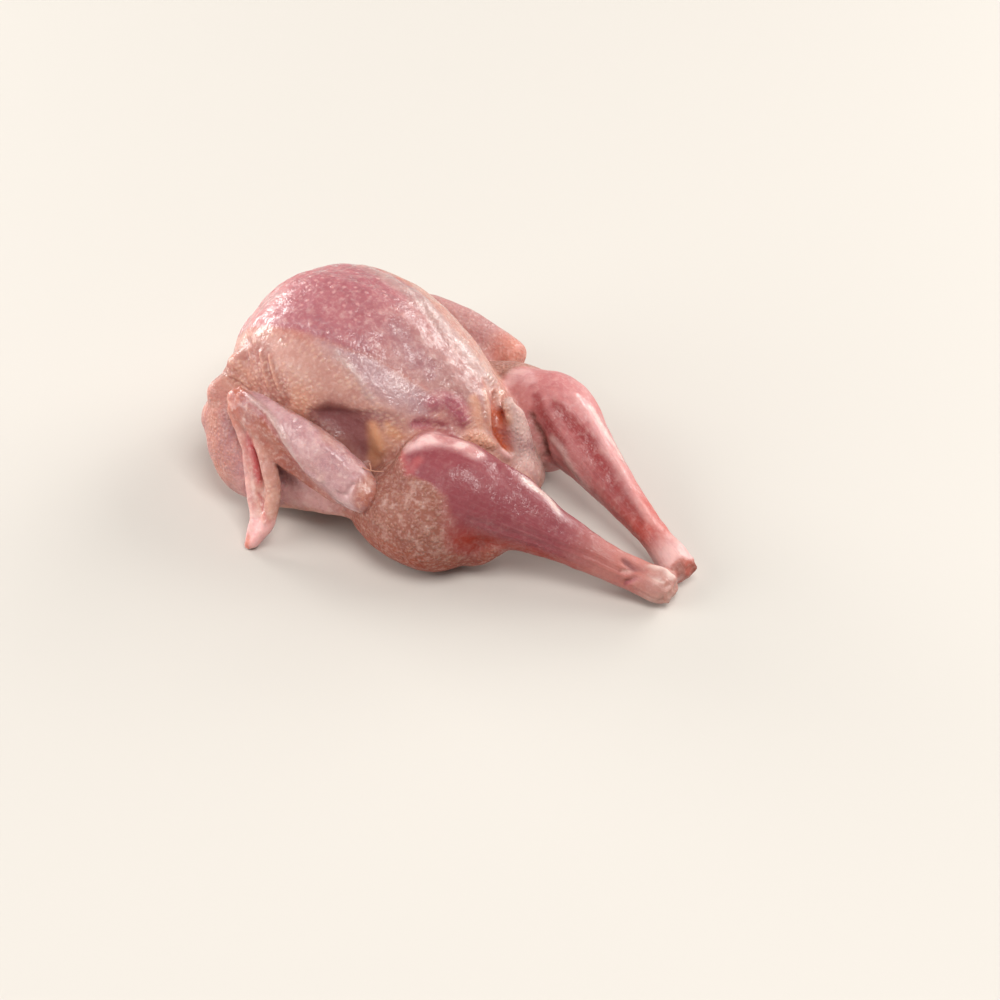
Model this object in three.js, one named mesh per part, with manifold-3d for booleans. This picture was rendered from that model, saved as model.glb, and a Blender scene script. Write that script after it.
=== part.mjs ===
// A dressed quail lying on its back, breast up, as one solid in millimetres.
// +X runs from the neck to the feet, +Z is up (the breast), and -Y is the bird's right side.
// Every form is a loft: cross-sections with named sizes are carried along a spine, then all
// lofts are joined into one closed skin. The bird rests on the plane Z = 0.
import * as THREE from 'three';
import { mergeVertices } from 'three/addons/utils/BufferGeometryUtils.js';
import Module from 'manifold-3d';

const wasm = await Module();
wasm.setup();

// Driving dimensions: how finely each loft is divided, then the sections of every form.
const TRUNK_STEPS = 26;
const TRUNK_RING = 40;
const LIMB_STEPS = 17;
const LIMB_RING = 24;
const SMALL_STEPS = 12;
const SMALL_RING = 16;
const WEB_STEPS = 6;
const FINE_STEPS = 8;
const FINE_RING = 10;
const DOME_STEPS = 3;

// Trunk stations: x, middle y, half-width, breast height, underside height, height of widest.
const TRUNK = [
  [-67, -3.5, 9, 30, 10, 20],
  [-63, -3.5, 17.5, 38, 5, 20],
  [-55, -3, 24.6, 45.5, 2, 19],
  [-44, -2.8, 27, 48.8, 0.6, 18],
  [-31, -2, 25.6, 47.4, 0.3, 17],
  [-19, -1.5, 22, 41.4, 0.3, 16],
  [-9, -1, 16.8, 33.6, 0.6, 15],
  [-0.5, 1, 11.6, 23.5, 2, 12],
  [4, 2.5, 7.5, 15, 5, 9.5],
];
const TRUNK_TOP_POWER = 2.2;
const TRUNK_BOTTOM_POWER = 2.7;
const KEEL_RISE = 1.3;
const KEEL_WIDTH = 4;
const TRUNK_DOME = 5;

// Limb stations: x, y, z of the middle, half-width sideways, half-height, corner power.
const NEAR_THIGH = [
  [-21, -15, 9.5, 9, 8.8, 2],
  [-13, -21, 11.2, 11.5, 11, 2],
  [-3, -22, 13.2, 12.5, 12.8, 2],
  [4.5, -18.5, 13.8, 9.5, 10.6, 2],
];
const NEAR_THIGH_FLAP = [
  [-2, -21, 6, 4, 4.5, 2],
  [6, -20.5, 6.8, 4, 4, 2],
  [12, -20, 9.8, 3, 2.6, 2],
  [14.5, -19.5, 11.5, 2, 1.8, 2],
];
const NEAR_DRUM = [
  [-8, -18.5, 21.5, 9.5, 9, 2],
  [2, -17.5, 20, 10, 10.2, 2],
  [12, -15, 16.6, 8.3, 8.5, 2],
  [23, -12, 13, 5.8, 5.8, 2],
  [33, -9.8, 9.8, 4.2, 4.3, 2],
  [41, -7.6, 7.2, 3.8, 3.8, 2],
  [47, -5.9, 5.4, 4.2, 3.8, 2.3],
  [50, -5.3, 4.8, 3.7, 3.3, 2.3],
];
const FAR_THIGH = [
  [-22, 14, 12, 9, 10, 2],
  [-14, 19, 11.8, 11.5, 11, 2],
  [-5, 20, 12.2, 11, 11.5, 2],
  [3, 18, 12.5, 8.5, 9.5, 2],
];
const FAR_DRUM = [
  [-8, 18.5, 16.5, 8.6, 9, 2],
  [2, 20, 16.6, 9.3, 9.8, 2],
  [11, 17.2, 14, 7.4, 8.2, 2],
  [22, 12.8, 11, 5.3, 5.9, 2],
  [33, 8.7, 8.2, 3.8, 4.3, 2],
  [41, 5.2, 6.4, 3.5, 3.8, 2],
  [46, 3, 5.4, 4, 3.8, 2.3],
  [49, 1.8, 4.8, 3.7, 3.4, 2.3],
];
const LIMB_DOME = 6;
const THIGH_END_DOME = 4.5;
const HOCK_DOME = 1.6;

const NEAR_UPPER_ARM = [
  [-56, -22, 17, 11.5, 14, 2],
  [-50, -27.5, 11.5, 9.5, 10.8, 2],
  [-38, -28, 10, 6.5, 6.6, 2],
  [-22, -26, 12, 5, 5, 2],
];
const NEAR_FOREARM = [
  [-15.5, -29.6, 17.5, 4.4, 4.4, 2],
  [-19.5, -29.8, 18.8, 4.8, 5.6, 2],
  [-27.5, -30.2, 23, 4.8, 6.3, 2],
  [-38, -30.4, 26.5, 4.2, 5.5, 2],
  [-48.6, -30.4, 29, 3.3, 3.8, 2],
  [-51.6, -30.3, 29.6, 2.6, 2.8, 2],
];
const NEAR_FOREARM_RIDGE = [
  [-50.4, -32.4, 28.4, 1.7, 1.9, 2],
  [-43.9, -33.1, 25.7, 1.9, 2, 2],
  [-37.9, -33.3, 21.5, 1.8, 1.9, 2],
  [-31.1, -33.1, 18.6, 1.5, 1.6, 2],
  [-23.8, -32.8, 16, 1.3, 1.3, 2],
];
const NEAR_HAND = [
  [-51.5, -31, 27, 2.6, 2.4, 2],
  [-46.5, -33, 21.5, 2.8, 1.5, 2],
  [-42.5, -35, 16, 3, 1.5, 2],
  [-39.5, -38, 10.5, 2.8, 1.5, 2],
  [-38, -41.5, 6, 2.2, 1.4, 2],
  [-38.6, -44.5, 2.4, 1.4, 1.2, 2],
];
const NEAR_HAND_FRONT = [
  [-51.2, -32, 28.2, 1.6, 1.8, 2],
  [-48.1, -33.8, 21.9, 0.95, 1.6, 2],
  [-45.2, -36.4, 14.9, 0.95, 1.5, 2],
  [-42.6, -38.9, 10.5, 0.95, 1.4, 2],
  [-40.2, -41.3, 7, 1, 1.3, 2],
  [-39.3, -44.6, 1.8, 1.2, 1.2, 2],
];
const NEAR_HAND_BACK = [
  [-47.6, -32, 27, 1.4, 1.6, 2],
  [-42.9, -34, 22.7, 1.5, 1.7, 2],
  [-39.6, -35.6, 18.5, 1.9, 1.8, 2],
  [-37.4, -37.1, 14.6, 1.9, 1.8, 2],
  [-36.5, -39.1, 10.5, 1.8, 1.7, 2],
  [-36.2, -41.6, 7.1, 1.6, 1.6, 2],
  [-38, -44.2, 2.8, 1.2, 1.3, 2],
];
const FAR_UPPER_ARM = [
  [-56, 20, 17, 11, 14, 2],
  [-49, 28, 12, 9, 10.5, 2],
  [-37, 33, 9.5, 7, 7.5, 2],
  [-25, 36, 9.6, 5.5, 6, 2],
];
const FAR_FOREARM = [
  [-23, 37.4, 11, 5, 5.2, 2],
  [-32, 37.4, 13, 5.2, 5.6, 2],
  [-43, 36.4, 15.8, 4.6, 5.2, 2],
  [-53, 34, 18, 3.4, 3.4, 2],
];
const FAR_HAND = [
  [-53, 35, 18, 3, 2.8, 2],
  [-46, 39, 12, 4, 2.6, 2],
  [-41, 41.5, 6.4, 3.6, 2.2, 2],
  [-38, 44, 3, 2.4, 1.8, 2],
];
const NEAR_WEB = [
  [-48, -29.6, 19, 3.2, 8.2, 2],
  [-38, -29.3, 17, 2.8, 7.5, 2],
  [-27, -28.4, 14, 3, 6, 2],
];
const FAR_WEB = [
  [-52, 27, 11, 7, 8, 2],
  [-40, 28, 10.5, 7, 7, 2],
  [-27, 30, 10, 6, 5, 2],
];
const VENT = [
  [-6, 1.6, 31.5, 1.4, 2.6, 2],
  [-2.5, 2, 26.5, 2, 3.4, 2],
  [1, 2.6, 20.5, 1.4, 2.6, 2],
];
const TAIL = [
  [-8, 5, 15, 8, 6, 2],
  [-2, 6.5, 10.5, 6.5, 4.5, 2],
  [2.5, 8, 7, 4.5, 3.4, 2],
];
const TAIL_FLAP = [
  [-0.8, 5.2, 28.6, 1.8, 1.4, 2],
  [1, 5.1, 24.2, 2.9, 1.8, 2],
  [2.2, 5.1, 19.9, 3.3, 2, 2],
  [3, 5.1, 16, 3.5, 2, 2],
  [4.4, 5.2, 12.4, 3.2, 2, 2],
  [6, 5.4, 9.2, 2.4, 1.8, 2],
];
const NECK = [
  [-62, -3, 16, 9, 9, 2],
  [-69, -2, 14, 6.5, 6.5, 2],
  [-74, -1.5, 12.5, 5.2, 5.2, 2],
];
const WING_DOME = 3;
const SHOULDER_DOME = 9;
const NECK_DOME = 1;
const FINE_DOME = 1.4;
const VENT_DOME = 1;
// Height below which the soft flesh is pressed flat by the surface it lies on.
const PRESSED_FLAT = 0.8;
// The block that stands for that surface, and the play in finding a direction and joining corners.
const GROUND_WIDTH = 400;
const GROUND_DEPTH = 40;
const DIRECTION_STEP = 0.01;
const SAME_CORNER = 1e-4;

// Smooth interpolation: a cubic through the table's rows with slopes taken from the neighbours.
function along(rows, t) {
  const last = rows.length - 1;
  const place = Math.min(Math.max(t, 0), 1) * last;
  const i = Math.min(Math.floor(place), last - 1);
  const f = place - i;
  const before = rows[Math.max(i - 1, 0)];
  const after = rows[Math.min(i + 2, last)];
  return rows[i].map((a, k) => {
    const b = rows[i + 1][k];
    const slopeA = (b - before[k]) / (i > 0 ? 2 : 1);
    const slopeB = (after[k] - a) / (i + 2 <= last ? 2 : 1);
    const f2 = f * f;
    const f3 = f2 * f;
    return a * (2 * f3 - 3 * f2 + 1) + slopeA * (f3 - 2 * f2 + f)
      + b * (3 * f2 - 2 * f3) + slopeB * (f3 - f2);
  });
}

const powerOf = (value, exponent) => Math.sign(value) * Math.abs(value) ** exponent;

// A closed loft of rings: equal-length loops of points, closed by a single point at each end.
function closedLoft(start, rings, end) {
  const count = rings[0].length;
  const points = [start, ...rings.flat(), end];
  const index = [];
  const at = (ring, k) => 1 + ring * count + (k % count);
  const final = points.length - 1;
  for (let k = 0; k < count; k += 1) {
    index.push(0, at(0, k + 1), at(0, k));
    for (let ring = 0; ring < rings.length - 1; ring += 1) {
      index.push(at(ring, k), at(ring, k + 1), at(ring + 1, k));
      index.push(at(ring, k + 1), at(ring + 1, k + 1), at(ring + 1, k));
    }
    index.push(final, at(rings.length - 1, k), at(rings.length - 1, k + 1));
  }
  const geometry = new THREE.BufferGeometry().setFromPoints(points);
  geometry.setIndex(index);
  return geometry;
}

// Superellipse ring: middle + across * cos + upward * sin with rounded corners.
function ringAt(middle, across, upward, power, scale, count) {
  const ring = [];
  for (let k = 0; k < count; k += 1) {
    const angle = (2 * Math.PI * k) / count;
    const c = powerOf(Math.cos(angle), 2 / power) * scale;
    const s = powerOf(Math.sin(angle), 2 / power) * scale;
    ring.push(middle.clone().addScaledVector(across, c).addScaledVector(upward, s));
  }
  return ring;
}

// A limb: sections along the table, square to the spine, with a dome at either end.
function limb(rows, steps, count, startDome, endDome) {
  const section = (t) => {
    const [x, y, z, halfWidth, halfHeight, power] = along(rows, t);
    const a = along(rows, Math.max(t - DIRECTION_STEP, 0));
    const b = along(rows, Math.min(t + DIRECTION_STEP, 1));
    const tangent = new THREE.Vector3(b[0] - a[0], b[1] - a[1], b[2] - a[2]).normalize();
    const side = new THREE.Vector3(0, 0, 1).cross(tangent).normalize();
    const upward = tangent.clone().cross(side);
    return {
      middle: new THREE.Vector3(x, y, z), tangent, power,
      across: side.multiplyScalar(halfWidth), upward: upward.multiplyScalar(halfHeight),
    };
  };
  const rings = [];
  const first = section(0);
  const final = section(1);
  const domeRing = (s, push, part) => {
    const angle = (part * Math.PI) / 2;
    const middle = s.middle.clone().addScaledVector(s.tangent, push * Math.sin(angle));
    rings.push(ringAt(middle, s.across, s.upward, s.power, Math.cos(angle), count));
  };
  for (let k = DOME_STEPS - 1; k >= 1; k -= 1) domeRing(first, -startDome, k / DOME_STEPS);
  for (let i = 0; i <= steps; i += 1) {
    const s = section(i / steps);
    rings.push(ringAt(s.middle, s.across, s.upward, s.power, 1, count));
  }
  for (let k = 1; k < DOME_STEPS; k += 1) domeRing(final, endDome, k / DOME_STEPS);
  const start = first.middle.clone().addScaledVector(first.tangent, -startDome);
  const end = final.middle.clone().addScaledVector(final.tangent, endDome);
  return closedLoft(start, rings, end);
}

// The trunk: upright sections with a rounded breast, a soft keel line and a flatter back.
function trunk() {
  const ringFor = (row, scale, shift) => {
    const [x, y, halfWidth, top, bottom, widest] = row;
    const ring = [];
    for (let k = 0; k < TRUNK_RING; k += 1) {
      const angle = (2 * Math.PI * k) / TRUNK_RING;
      const upper = Math.sin(angle) >= 0;
      const power = upper ? TRUNK_TOP_POWER : TRUNK_BOTTOM_POWER;
      const c = powerOf(Math.cos(angle), 2 / power) * halfWidth * scale;
      const s = powerOf(Math.sin(angle), 2 / power) * (upper ? top - widest : widest - bottom);
      const keel = upper ? KEEL_RISE * Math.exp(-((c / KEEL_WIDTH) ** 2)) * scale : 0;
      ring.push(new THREE.Vector3(x + shift, y + c, widest + s * scale + keel));
    }
    return ring;
  };
  const rings = [];
  const first = TRUNK[0];
  const final = TRUNK[TRUNK.length - 1];
  for (let k = DOME_STEPS - 1; k >= 1; k -= 1) {
    const angle = (k / DOME_STEPS) * (Math.PI / 2);
    rings.push(ringFor(first, Math.cos(angle), -TRUNK_DOME * Math.sin(angle)));
  }
  for (let i = 0; i <= TRUNK_STEPS; i += 1) rings.push(ringFor(along(TRUNK, i / TRUNK_STEPS), 1, 0));
  for (let k = 1; k < DOME_STEPS; k += 1) {
    const angle = (k / DOME_STEPS) * (Math.PI / 2);
    rings.push(ringFor(final, Math.cos(angle), TRUNK_DOME * Math.sin(angle)));
  }
  const start = new THREE.Vector3(first[0] - TRUNK_DOME, first[1], first[5]);
  const end = new THREE.Vector3(final[0] + TRUNK_DOME, final[1], final[5]);
  return closedLoft(start, rings, end);
}

// A watertight body that can be joined to others and cut by them.
function solidOf(shape) {
  const geometry = mergeVertices(shape.deleteAttribute('normal').deleteAttribute('uv'), SAME_CORNER);
  const mesh = new wasm.Mesh({
    numProp: 3,
    vertProperties: new Float32Array(geometry.attributes.position.array),
    triVerts: new Uint32Array(geometry.index.array),
  });
  return new wasm.Manifold(mesh);
}

function geometryOf(solid) {
  const { vertProperties, triVerts } = solid.getMesh();
  const geometry = new THREE.BufferGeometry();
  geometry.setAttribute('position', new THREE.BufferAttribute(new Float32Array(vertProperties), 3));
  geometry.setIndex(Array.from(triVerts));
  geometry.computeVertexNormals();
  return geometry;
}

// Puts the origin in the middle of the outline, on the surface the bird lies on.
function onGround(geometry) {
  geometry.computeBoundingBox();
  const { min, max } = geometry.boundingBox;
  return geometry.translate(-(min.x + max.x) / 2, -(min.y + max.y) / 2, -min.z);
}

const bodies = [
  trunk(),
  limb(NEAR_THIGH, LIMB_STEPS, LIMB_RING, LIMB_DOME, THIGH_END_DOME),
  limb(NEAR_THIGH_FLAP, FINE_STEPS, FINE_RING, WING_DOME, FINE_DOME),
  limb(NEAR_DRUM, LIMB_STEPS, LIMB_RING, LIMB_DOME, HOCK_DOME),
  limb(FAR_THIGH, LIMB_STEPS, LIMB_RING, LIMB_DOME, LIMB_DOME),
  limb(FAR_DRUM, LIMB_STEPS, LIMB_RING, LIMB_DOME, HOCK_DOME),
  limb(NEAR_UPPER_ARM, SMALL_STEPS, LIMB_RING, SHOULDER_DOME, WING_DOME),
  limb(NEAR_FOREARM, SMALL_STEPS, SMALL_RING, WING_DOME, WING_DOME),
  limb(NEAR_FOREARM_RIDGE, FINE_STEPS, FINE_RING, FINE_DOME, FINE_DOME),
  limb(NEAR_HAND, FINE_STEPS, FINE_RING, WING_DOME, FINE_DOME),
  limb(NEAR_HAND_FRONT, FINE_STEPS, FINE_RING, FINE_DOME, FINE_DOME),
  limb(NEAR_HAND_BACK, FINE_STEPS, FINE_RING, FINE_DOME, FINE_DOME),
  limb(FAR_UPPER_ARM, SMALL_STEPS, LIMB_RING, SHOULDER_DOME, WING_DOME),
  limb(FAR_FOREARM, SMALL_STEPS, SMALL_RING, WING_DOME, WING_DOME),
  limb(FAR_HAND, SMALL_STEPS, SMALL_RING, WING_DOME, FINE_DOME),
  limb(NEAR_WEB, WEB_STEPS, SMALL_RING, WING_DOME, WING_DOME),
  limb(FAR_WEB, WEB_STEPS, SMALL_RING, WING_DOME, WING_DOME),
  limb(TAIL, SMALL_STEPS, SMALL_RING, WING_DOME, WING_DOME),
  limb(TAIL_FLAP, FINE_STEPS, FINE_RING, FINE_DOME, FINE_DOME),
  limb(NECK, SMALL_STEPS, SMALL_RING, WING_DOME, NECK_DOME),
].map(solidOf);

const ground = new THREE.BoxGeometry(GROUND_WIDTH, GROUND_WIDTH, GROUND_DEPTH);
ground.translate(0, 0, PRESSED_FLAT - GROUND_DEPTH / 2);
const vent = solidOf(limb(VENT, WEB_STEPS, SMALL_RING, VENT_DOME, VENT_DOME));
const whole = bodies.reduce((sum, body) => sum.add(body)).subtract(vent).subtract(solidOf(ground));

const material = new THREE.MeshStandardMaterial({ color: 0xb07880, roughness: 0.35, metalness: 0 });
const quail = new THREE.Mesh(onGround(geometryOf(whole)), material);
quail.name = 'quail';

const group = new THREE.Group();
group.name = 'dressed_quail';
group.add(quail);

export default group;
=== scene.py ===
"""A raw dressed quail on its back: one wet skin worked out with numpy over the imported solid.

Lengths are millimetres in the drawing frame of the solid (+X towards the feet, +Z towards the
breast, -Y the bird's right side). PLACE moves them into the part's frame, and MM turns them into
metres when a mesh is made.
"""
import math

import bpy
import numpy as np
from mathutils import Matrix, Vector


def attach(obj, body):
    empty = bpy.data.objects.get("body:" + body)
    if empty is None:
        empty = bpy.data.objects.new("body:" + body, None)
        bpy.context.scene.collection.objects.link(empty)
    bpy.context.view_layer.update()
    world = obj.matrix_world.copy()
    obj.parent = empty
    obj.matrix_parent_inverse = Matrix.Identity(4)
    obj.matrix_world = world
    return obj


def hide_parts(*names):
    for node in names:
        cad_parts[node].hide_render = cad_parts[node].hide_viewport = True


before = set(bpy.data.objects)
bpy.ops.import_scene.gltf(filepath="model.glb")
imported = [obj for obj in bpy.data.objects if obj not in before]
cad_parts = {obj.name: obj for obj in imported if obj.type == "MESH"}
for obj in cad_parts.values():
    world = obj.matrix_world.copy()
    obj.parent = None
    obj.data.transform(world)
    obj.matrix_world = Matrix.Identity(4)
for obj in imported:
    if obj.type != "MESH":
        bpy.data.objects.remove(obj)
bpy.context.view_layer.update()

MM = 0.001
TINY = 1e-9
PLACE = np.array([12.006, -0.031, -0.8])
BODY_VOXEL = 0.58
WING_VOXEL = 0.34

# Trunk stations: x, middle y, half-width, breast height, underside height, height of widest.
TRUNK = [
    [-67, -3.5, 9, 30, 10, 20],
    [-63, -3.5, 17.5, 38, 5, 20],
    [-55, -3, 24.6, 45.5, 2, 19],
    [-44, -2.8, 27, 48.8, 0.6, 18],
    [-31, -2, 25.6, 47.4, 0.3, 17],
    [-19, -1.5, 22, 41.4, 0.3, 16],
    [-9, -1, 16.8, 33.6, 0.6, 15],
    [-0.5, 1, 11.6, 23.5, 2, 12],
    [4, 2.5, 7.5, 15, 5, 9.5],
]
TRUNK_TOP_POWER = 2.2
TRUNK_BOTTOM_POWER = 2.7
KEEL_RISE = 1.3
KEEL_WIDTH = 4
TRUNK_DOME = 5
# How far apart along a limb, from 0 to 1, its direction is measured, and the steps of a dome.
SPINE_STEP = 0.01
DOME_STEPS = 7
# Places looked at along a limb and along the trunk to find the nearest, points handled at a time,
# how far past a limb's end counts as on it, and how wide the trunk's gap is read.
LIMB_PLACES = 60
TRUNK_PLACES = 200
POINTS_AT_A_TIME = 20000
END_SLACK = 1.0
TRUNK_GAP = 0.8

# Limb stations: x, y, z of the middle, half-width sideways, half-height, corner power.
LIMBS = {
    "near_thigh": [
        [-21, -15, 9.5, 9, 8.8, 2],
        [-13, -21, 11.2, 11.5, 11, 2],
        [-3, -22, 13.2, 12.5, 12.8, 2],
        [4.5, -18.5, 13.8, 9.5, 10.6, 2],
    ],
    "near_drum": [
        [-8, -18.5, 21.5, 9.5, 9, 2],
        [2, -17.5, 20, 10, 10.2, 2],
        [12, -15, 16.6, 8.3, 8.5, 2],
        [23, -12, 13, 5.8, 5.8, 2],
        [33, -9.8, 9.8, 4.2, 4.3, 2],
        [41, -7.6, 7.2, 3.8, 3.8, 2],
        [47, -5.9, 5.4, 4.2, 3.8, 2.3],
        [50, -5.3, 4.8, 3.7, 3.3, 2.3],
    ],
    "near_thigh_flap": [
        [-2, -21, 6, 4, 4.5, 2],
        [6, -20.5, 6.8, 4, 4, 2],
        [12, -20, 9.8, 3, 2.6, 2],
        [14.5, -19.5, 11.5, 2, 1.8, 2],
    ],
    "far_thigh": [
        [-22, 14, 12, 9, 10, 2],
        [-14, 19, 11.8, 11.5, 11, 2],
        [-5, 20, 12.2, 11, 11.5, 2],
        [3, 18, 12.5, 8.5, 9.5, 2],
    ],
    "far_drum": [
        [-8, 18.5, 16.5, 8.6, 9, 2],
        [2, 20, 16.6, 9.3, 9.8, 2],
        [11, 17.2, 14, 7.4, 8.2, 2],
        [22, 12.8, 11, 5.3, 5.9, 2],
        [33, 8.7, 8.2, 3.8, 4.3, 2],
        [41, 5.2, 6.4, 3.5, 3.8, 2],
        [46, 3, 5.4, 4, 3.8, 2.3],
        [49, 1.8, 4.8, 3.7, 3.4, 2.3],
    ],
    "near_upper_arm": [
        [-56, -22, 17, 11.5, 14, 2],
        [-50, -27.5, 11.5, 9.5, 10.8, 2],
        [-38, -28, 10, 6.5, 6.6, 2],
        [-22, -26, 12, 5, 5, 2],
    ],
    "near_forearm": [
        [-15.5, -29.6, 17.5, 4.4, 4.4, 2],
        [-19.5, -29.8, 18.8, 4.8, 5.6, 2],
        [-27.5, -30.2, 23, 4.8, 6.3, 2],
        [-38, -30.4, 26.5, 4.2, 5.5, 2],
        [-48.6, -30.4, 29, 3.3, 3.8, 2],
        [-51.6, -30.3, 29.6, 2.6, 2.8, 2],
    ],
    "near_forearm_ridge": [
        [-50.4, -32.4, 28.4, 1.7, 1.9, 2],
        [-43.9, -33.1, 25.7, 1.9, 2, 2],
        [-37.9, -33.3, 21.5, 1.8, 1.9, 2],
        [-31.1, -33.1, 18.6, 1.5, 1.6, 2],
        [-23.8, -32.8, 16, 1.3, 1.3, 2],
    ],
    "near_hand": [
        [-51.5, -31, 27, 2.6, 2.4, 2],
        [-46.5, -33, 21.5, 2.8, 1.5, 2],
        [-42.5, -35, 16, 3, 1.5, 2],
        [-39.5, -38, 10.5, 2.8, 1.5, 2],
        [-38, -41.5, 6, 2.2, 1.4, 2],
        [-38.6, -44.5, 2.4, 1.4, 1.2, 2],
    ],
    "near_hand_front": [
        [-51.2, -32, 28.2, 1.6, 1.8, 2],
        [-48.1, -33.8, 21.9, 0.95, 1.6, 2],
        [-45.2, -36.4, 14.9, 0.95, 1.5, 2],
        [-42.6, -38.9, 10.5, 0.95, 1.4, 2],
        [-40.2, -41.3, 7, 1, 1.3, 2],
        [-39.3, -44.6, 1.8, 1.2, 1.2, 2],
    ],
    "near_hand_back": [
        [-47.6, -32, 27, 1.4, 1.6, 2],
        [-42.9, -34, 22.7, 1.5, 1.7, 2],
        [-39.6, -35.6, 18.5, 1.9, 1.8, 2],
        [-37.4, -37.1, 14.6, 1.9, 1.8, 2],
        [-36.5, -39.1, 10.5, 1.8, 1.7, 2],
        [-36.2, -41.6, 7.1, 1.6, 1.6, 2],
        [-38, -44.2, 2.8, 1.2, 1.3, 2],
    ],
    "far_upper_arm": [
        [-56, 20, 17, 11, 14, 2],
        [-49, 28, 12, 9, 10.5, 2],
        [-37, 33, 9.5, 7, 7.5, 2],
        [-25, 36, 9.6, 5.5, 6, 2],
    ],
    "far_forearm": [
        [-23, 37.4, 11, 5, 5.2, 2],
        [-32, 37.4, 13, 5.2, 5.6, 2],
        [-43, 36.4, 15.8, 4.6, 5.2, 2],
        [-53, 34, 18, 3.4, 3.4, 2],
    ],
    "far_hand": [
        [-53, 35, 18, 3, 2.8, 2],
        [-46, 39, 12, 4, 2.6, 2],
        [-41, 41.5, 6.4, 3.6, 2.2, 2],
        [-38, 44, 3, 2.4, 1.8, 2],
    ],
    "near_web": [
        [-48, -29.6, 19, 3.2, 8.2, 2],
        [-38, -29.3, 17, 2.8, 7.5, 2],
        [-27, -28.4, 14, 3, 6, 2],
    ],
    "far_web": [
        [-52, 27, 11, 7, 8, 2],
        [-40, 28, 10.5, 7, 7, 2],
        [-27, 30, 10, 6, 5, 2],
    ],
    "tail": [
        [-8, 5, 15, 8, 6, 2],
        [-2, 6.5, 10.5, 6.5, 4.5, 2],
        [2.5, 8, 7, 4.5, 3.4, 2],
    ],
    "tail_flap": [
        [-0.8, 5.2, 28.6, 1.8, 1.4, 2],
        [1, 5.1, 24.2, 2.9, 1.8, 2],
        [2.2, 5.1, 19.9, 3.3, 2, 2],
        [3, 5.1, 16, 3.5, 2, 2],
        [4.4, 5.2, 12.4, 3.2, 2, 2],
        [6, 5.4, 9.2, 2.4, 1.8, 2],
    ],
    "neck": [
        [-62, -3, 16, 9, 9, 2],
        [-69, -2, 14, 6.5, 6.5, 2],
        [-74, -1.5, 12.5, 5.2, 5.2, 2],
    ],
}
# How far the rounded end of each limb reaches past its first and its last station.
DOMES = {name: (3, 3) for name in LIMBS}
DOMES.update({
    "near_thigh": (6, 4.5), "far_thigh": (6, 6), "near_drum": (6, 1.6), "far_drum": (6, 1.6),
    "near_upper_arm": (9, 3), "far_upper_arm": (9, 3), "near_hand": (3, 1), "far_hand": (3, 1),
    "neck": (3, 1), "near_hand_front": (2, 1.2), "near_hand_back": (1.5, 1.2), "tail_flap": (1.5, 1.5),
})
# The near forearm and hand are a skin of their own, with finer quads.
WING_FORMS = ["near_forearm", "near_forearm_ridge", "near_hand", "near_hand_front", "near_hand_back"]
BODY_FORMS = [name for name in LIMBS if name not in WING_FORMS]


# Numbers along a table, rings and closed lofts.

def along(rows, t):
    """Rows of a table at t from 0 to 1: a cubic through the rows, slopes taken from neighbours."""
    rows = np.asarray(rows, float)
    last = len(rows) - 1
    place = np.clip(np.atleast_1d(t), 0, 1) * last
    i = np.minimum(place.astype(int), last - 1)
    f = (place - i)[:, None]
    a, b = rows[i], rows[i + 1]
    slope_a = (b - rows[np.maximum(i - 1, 0)]) / np.where(i > 0, 2, 1)[:, None]
    slope_b = (rows[np.minimum(i + 2, last)] - a) / np.where(i + 2 <= last, 2, 1)[:, None]
    return (a * (2 * f**3 - 3 * f**2 + 1) + slope_a * (f**3 - 2 * f**2 + f)
            + b * (3 * f**2 - 2 * f**3) + slope_b * (f**3 - f**2))


def unit(v):
    """Vectors brought to length one."""
    return v / np.maximum(np.linalg.norm(v, axis=-1, keepdims=True), TINY)


def power_of(value, exponent):
    """A power that keeps the sign."""
    return np.sign(value) * np.abs(value) ** exponent


def spine(rows, t):
    """Middle, direction, sideways and upward unit vectors, half sizes and power of a limb at t."""
    row = along(rows, t)
    ahead = along(rows, np.clip(t + SPINE_STEP, 0, 1))[:, :3]
    behind = along(rows, np.clip(t - SPINE_STEP, 0, 1))[:, :3]
    tangent = unit(ahead - behind)
    side = unit(np.cross(np.array([0.0, 0.0, 1.0]), tangent))
    return row[:, :3], tangent, side, np.cross(tangent, side), row[:, 3:5], row[:, 5:6]


def closed_loft(rings):
    """Faces of a stack of rings (steps, count, 3) whose first and last ring are single points."""
    steps, count = rings.shape[:2]
    i, k = np.meshgrid(np.arange(steps - 1), np.arange(count), indexing="ij")
    a = i * count + k
    b = i * count + (k + 1) % count
    quads = np.stack([a, b, b + count, a + count], -1).reshape(-1, 4)
    return rings.reshape(-1, 3), quads


def dome_parts(start, end, steps):
    """Along-values t, push past the ends and ring scale for a body with rounded ends: over a
    quarter turn the push falls with the cosine while the scale grows with the sine."""
    angle = np.linspace(0, np.pi / 2, DOME_STEPS)[:-1]
    flat = np.ones(DOME_STEPS - 1)
    t = np.concatenate([0 * flat, np.linspace(0, 1, steps), flat])
    push = np.concatenate([-start * np.cos(angle), np.zeros(steps), end * np.cos(angle)[::-1]])
    scale = np.concatenate([np.sin(angle), np.ones(steps), np.sin(angle)[::-1]])
    return t, push, scale


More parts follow.
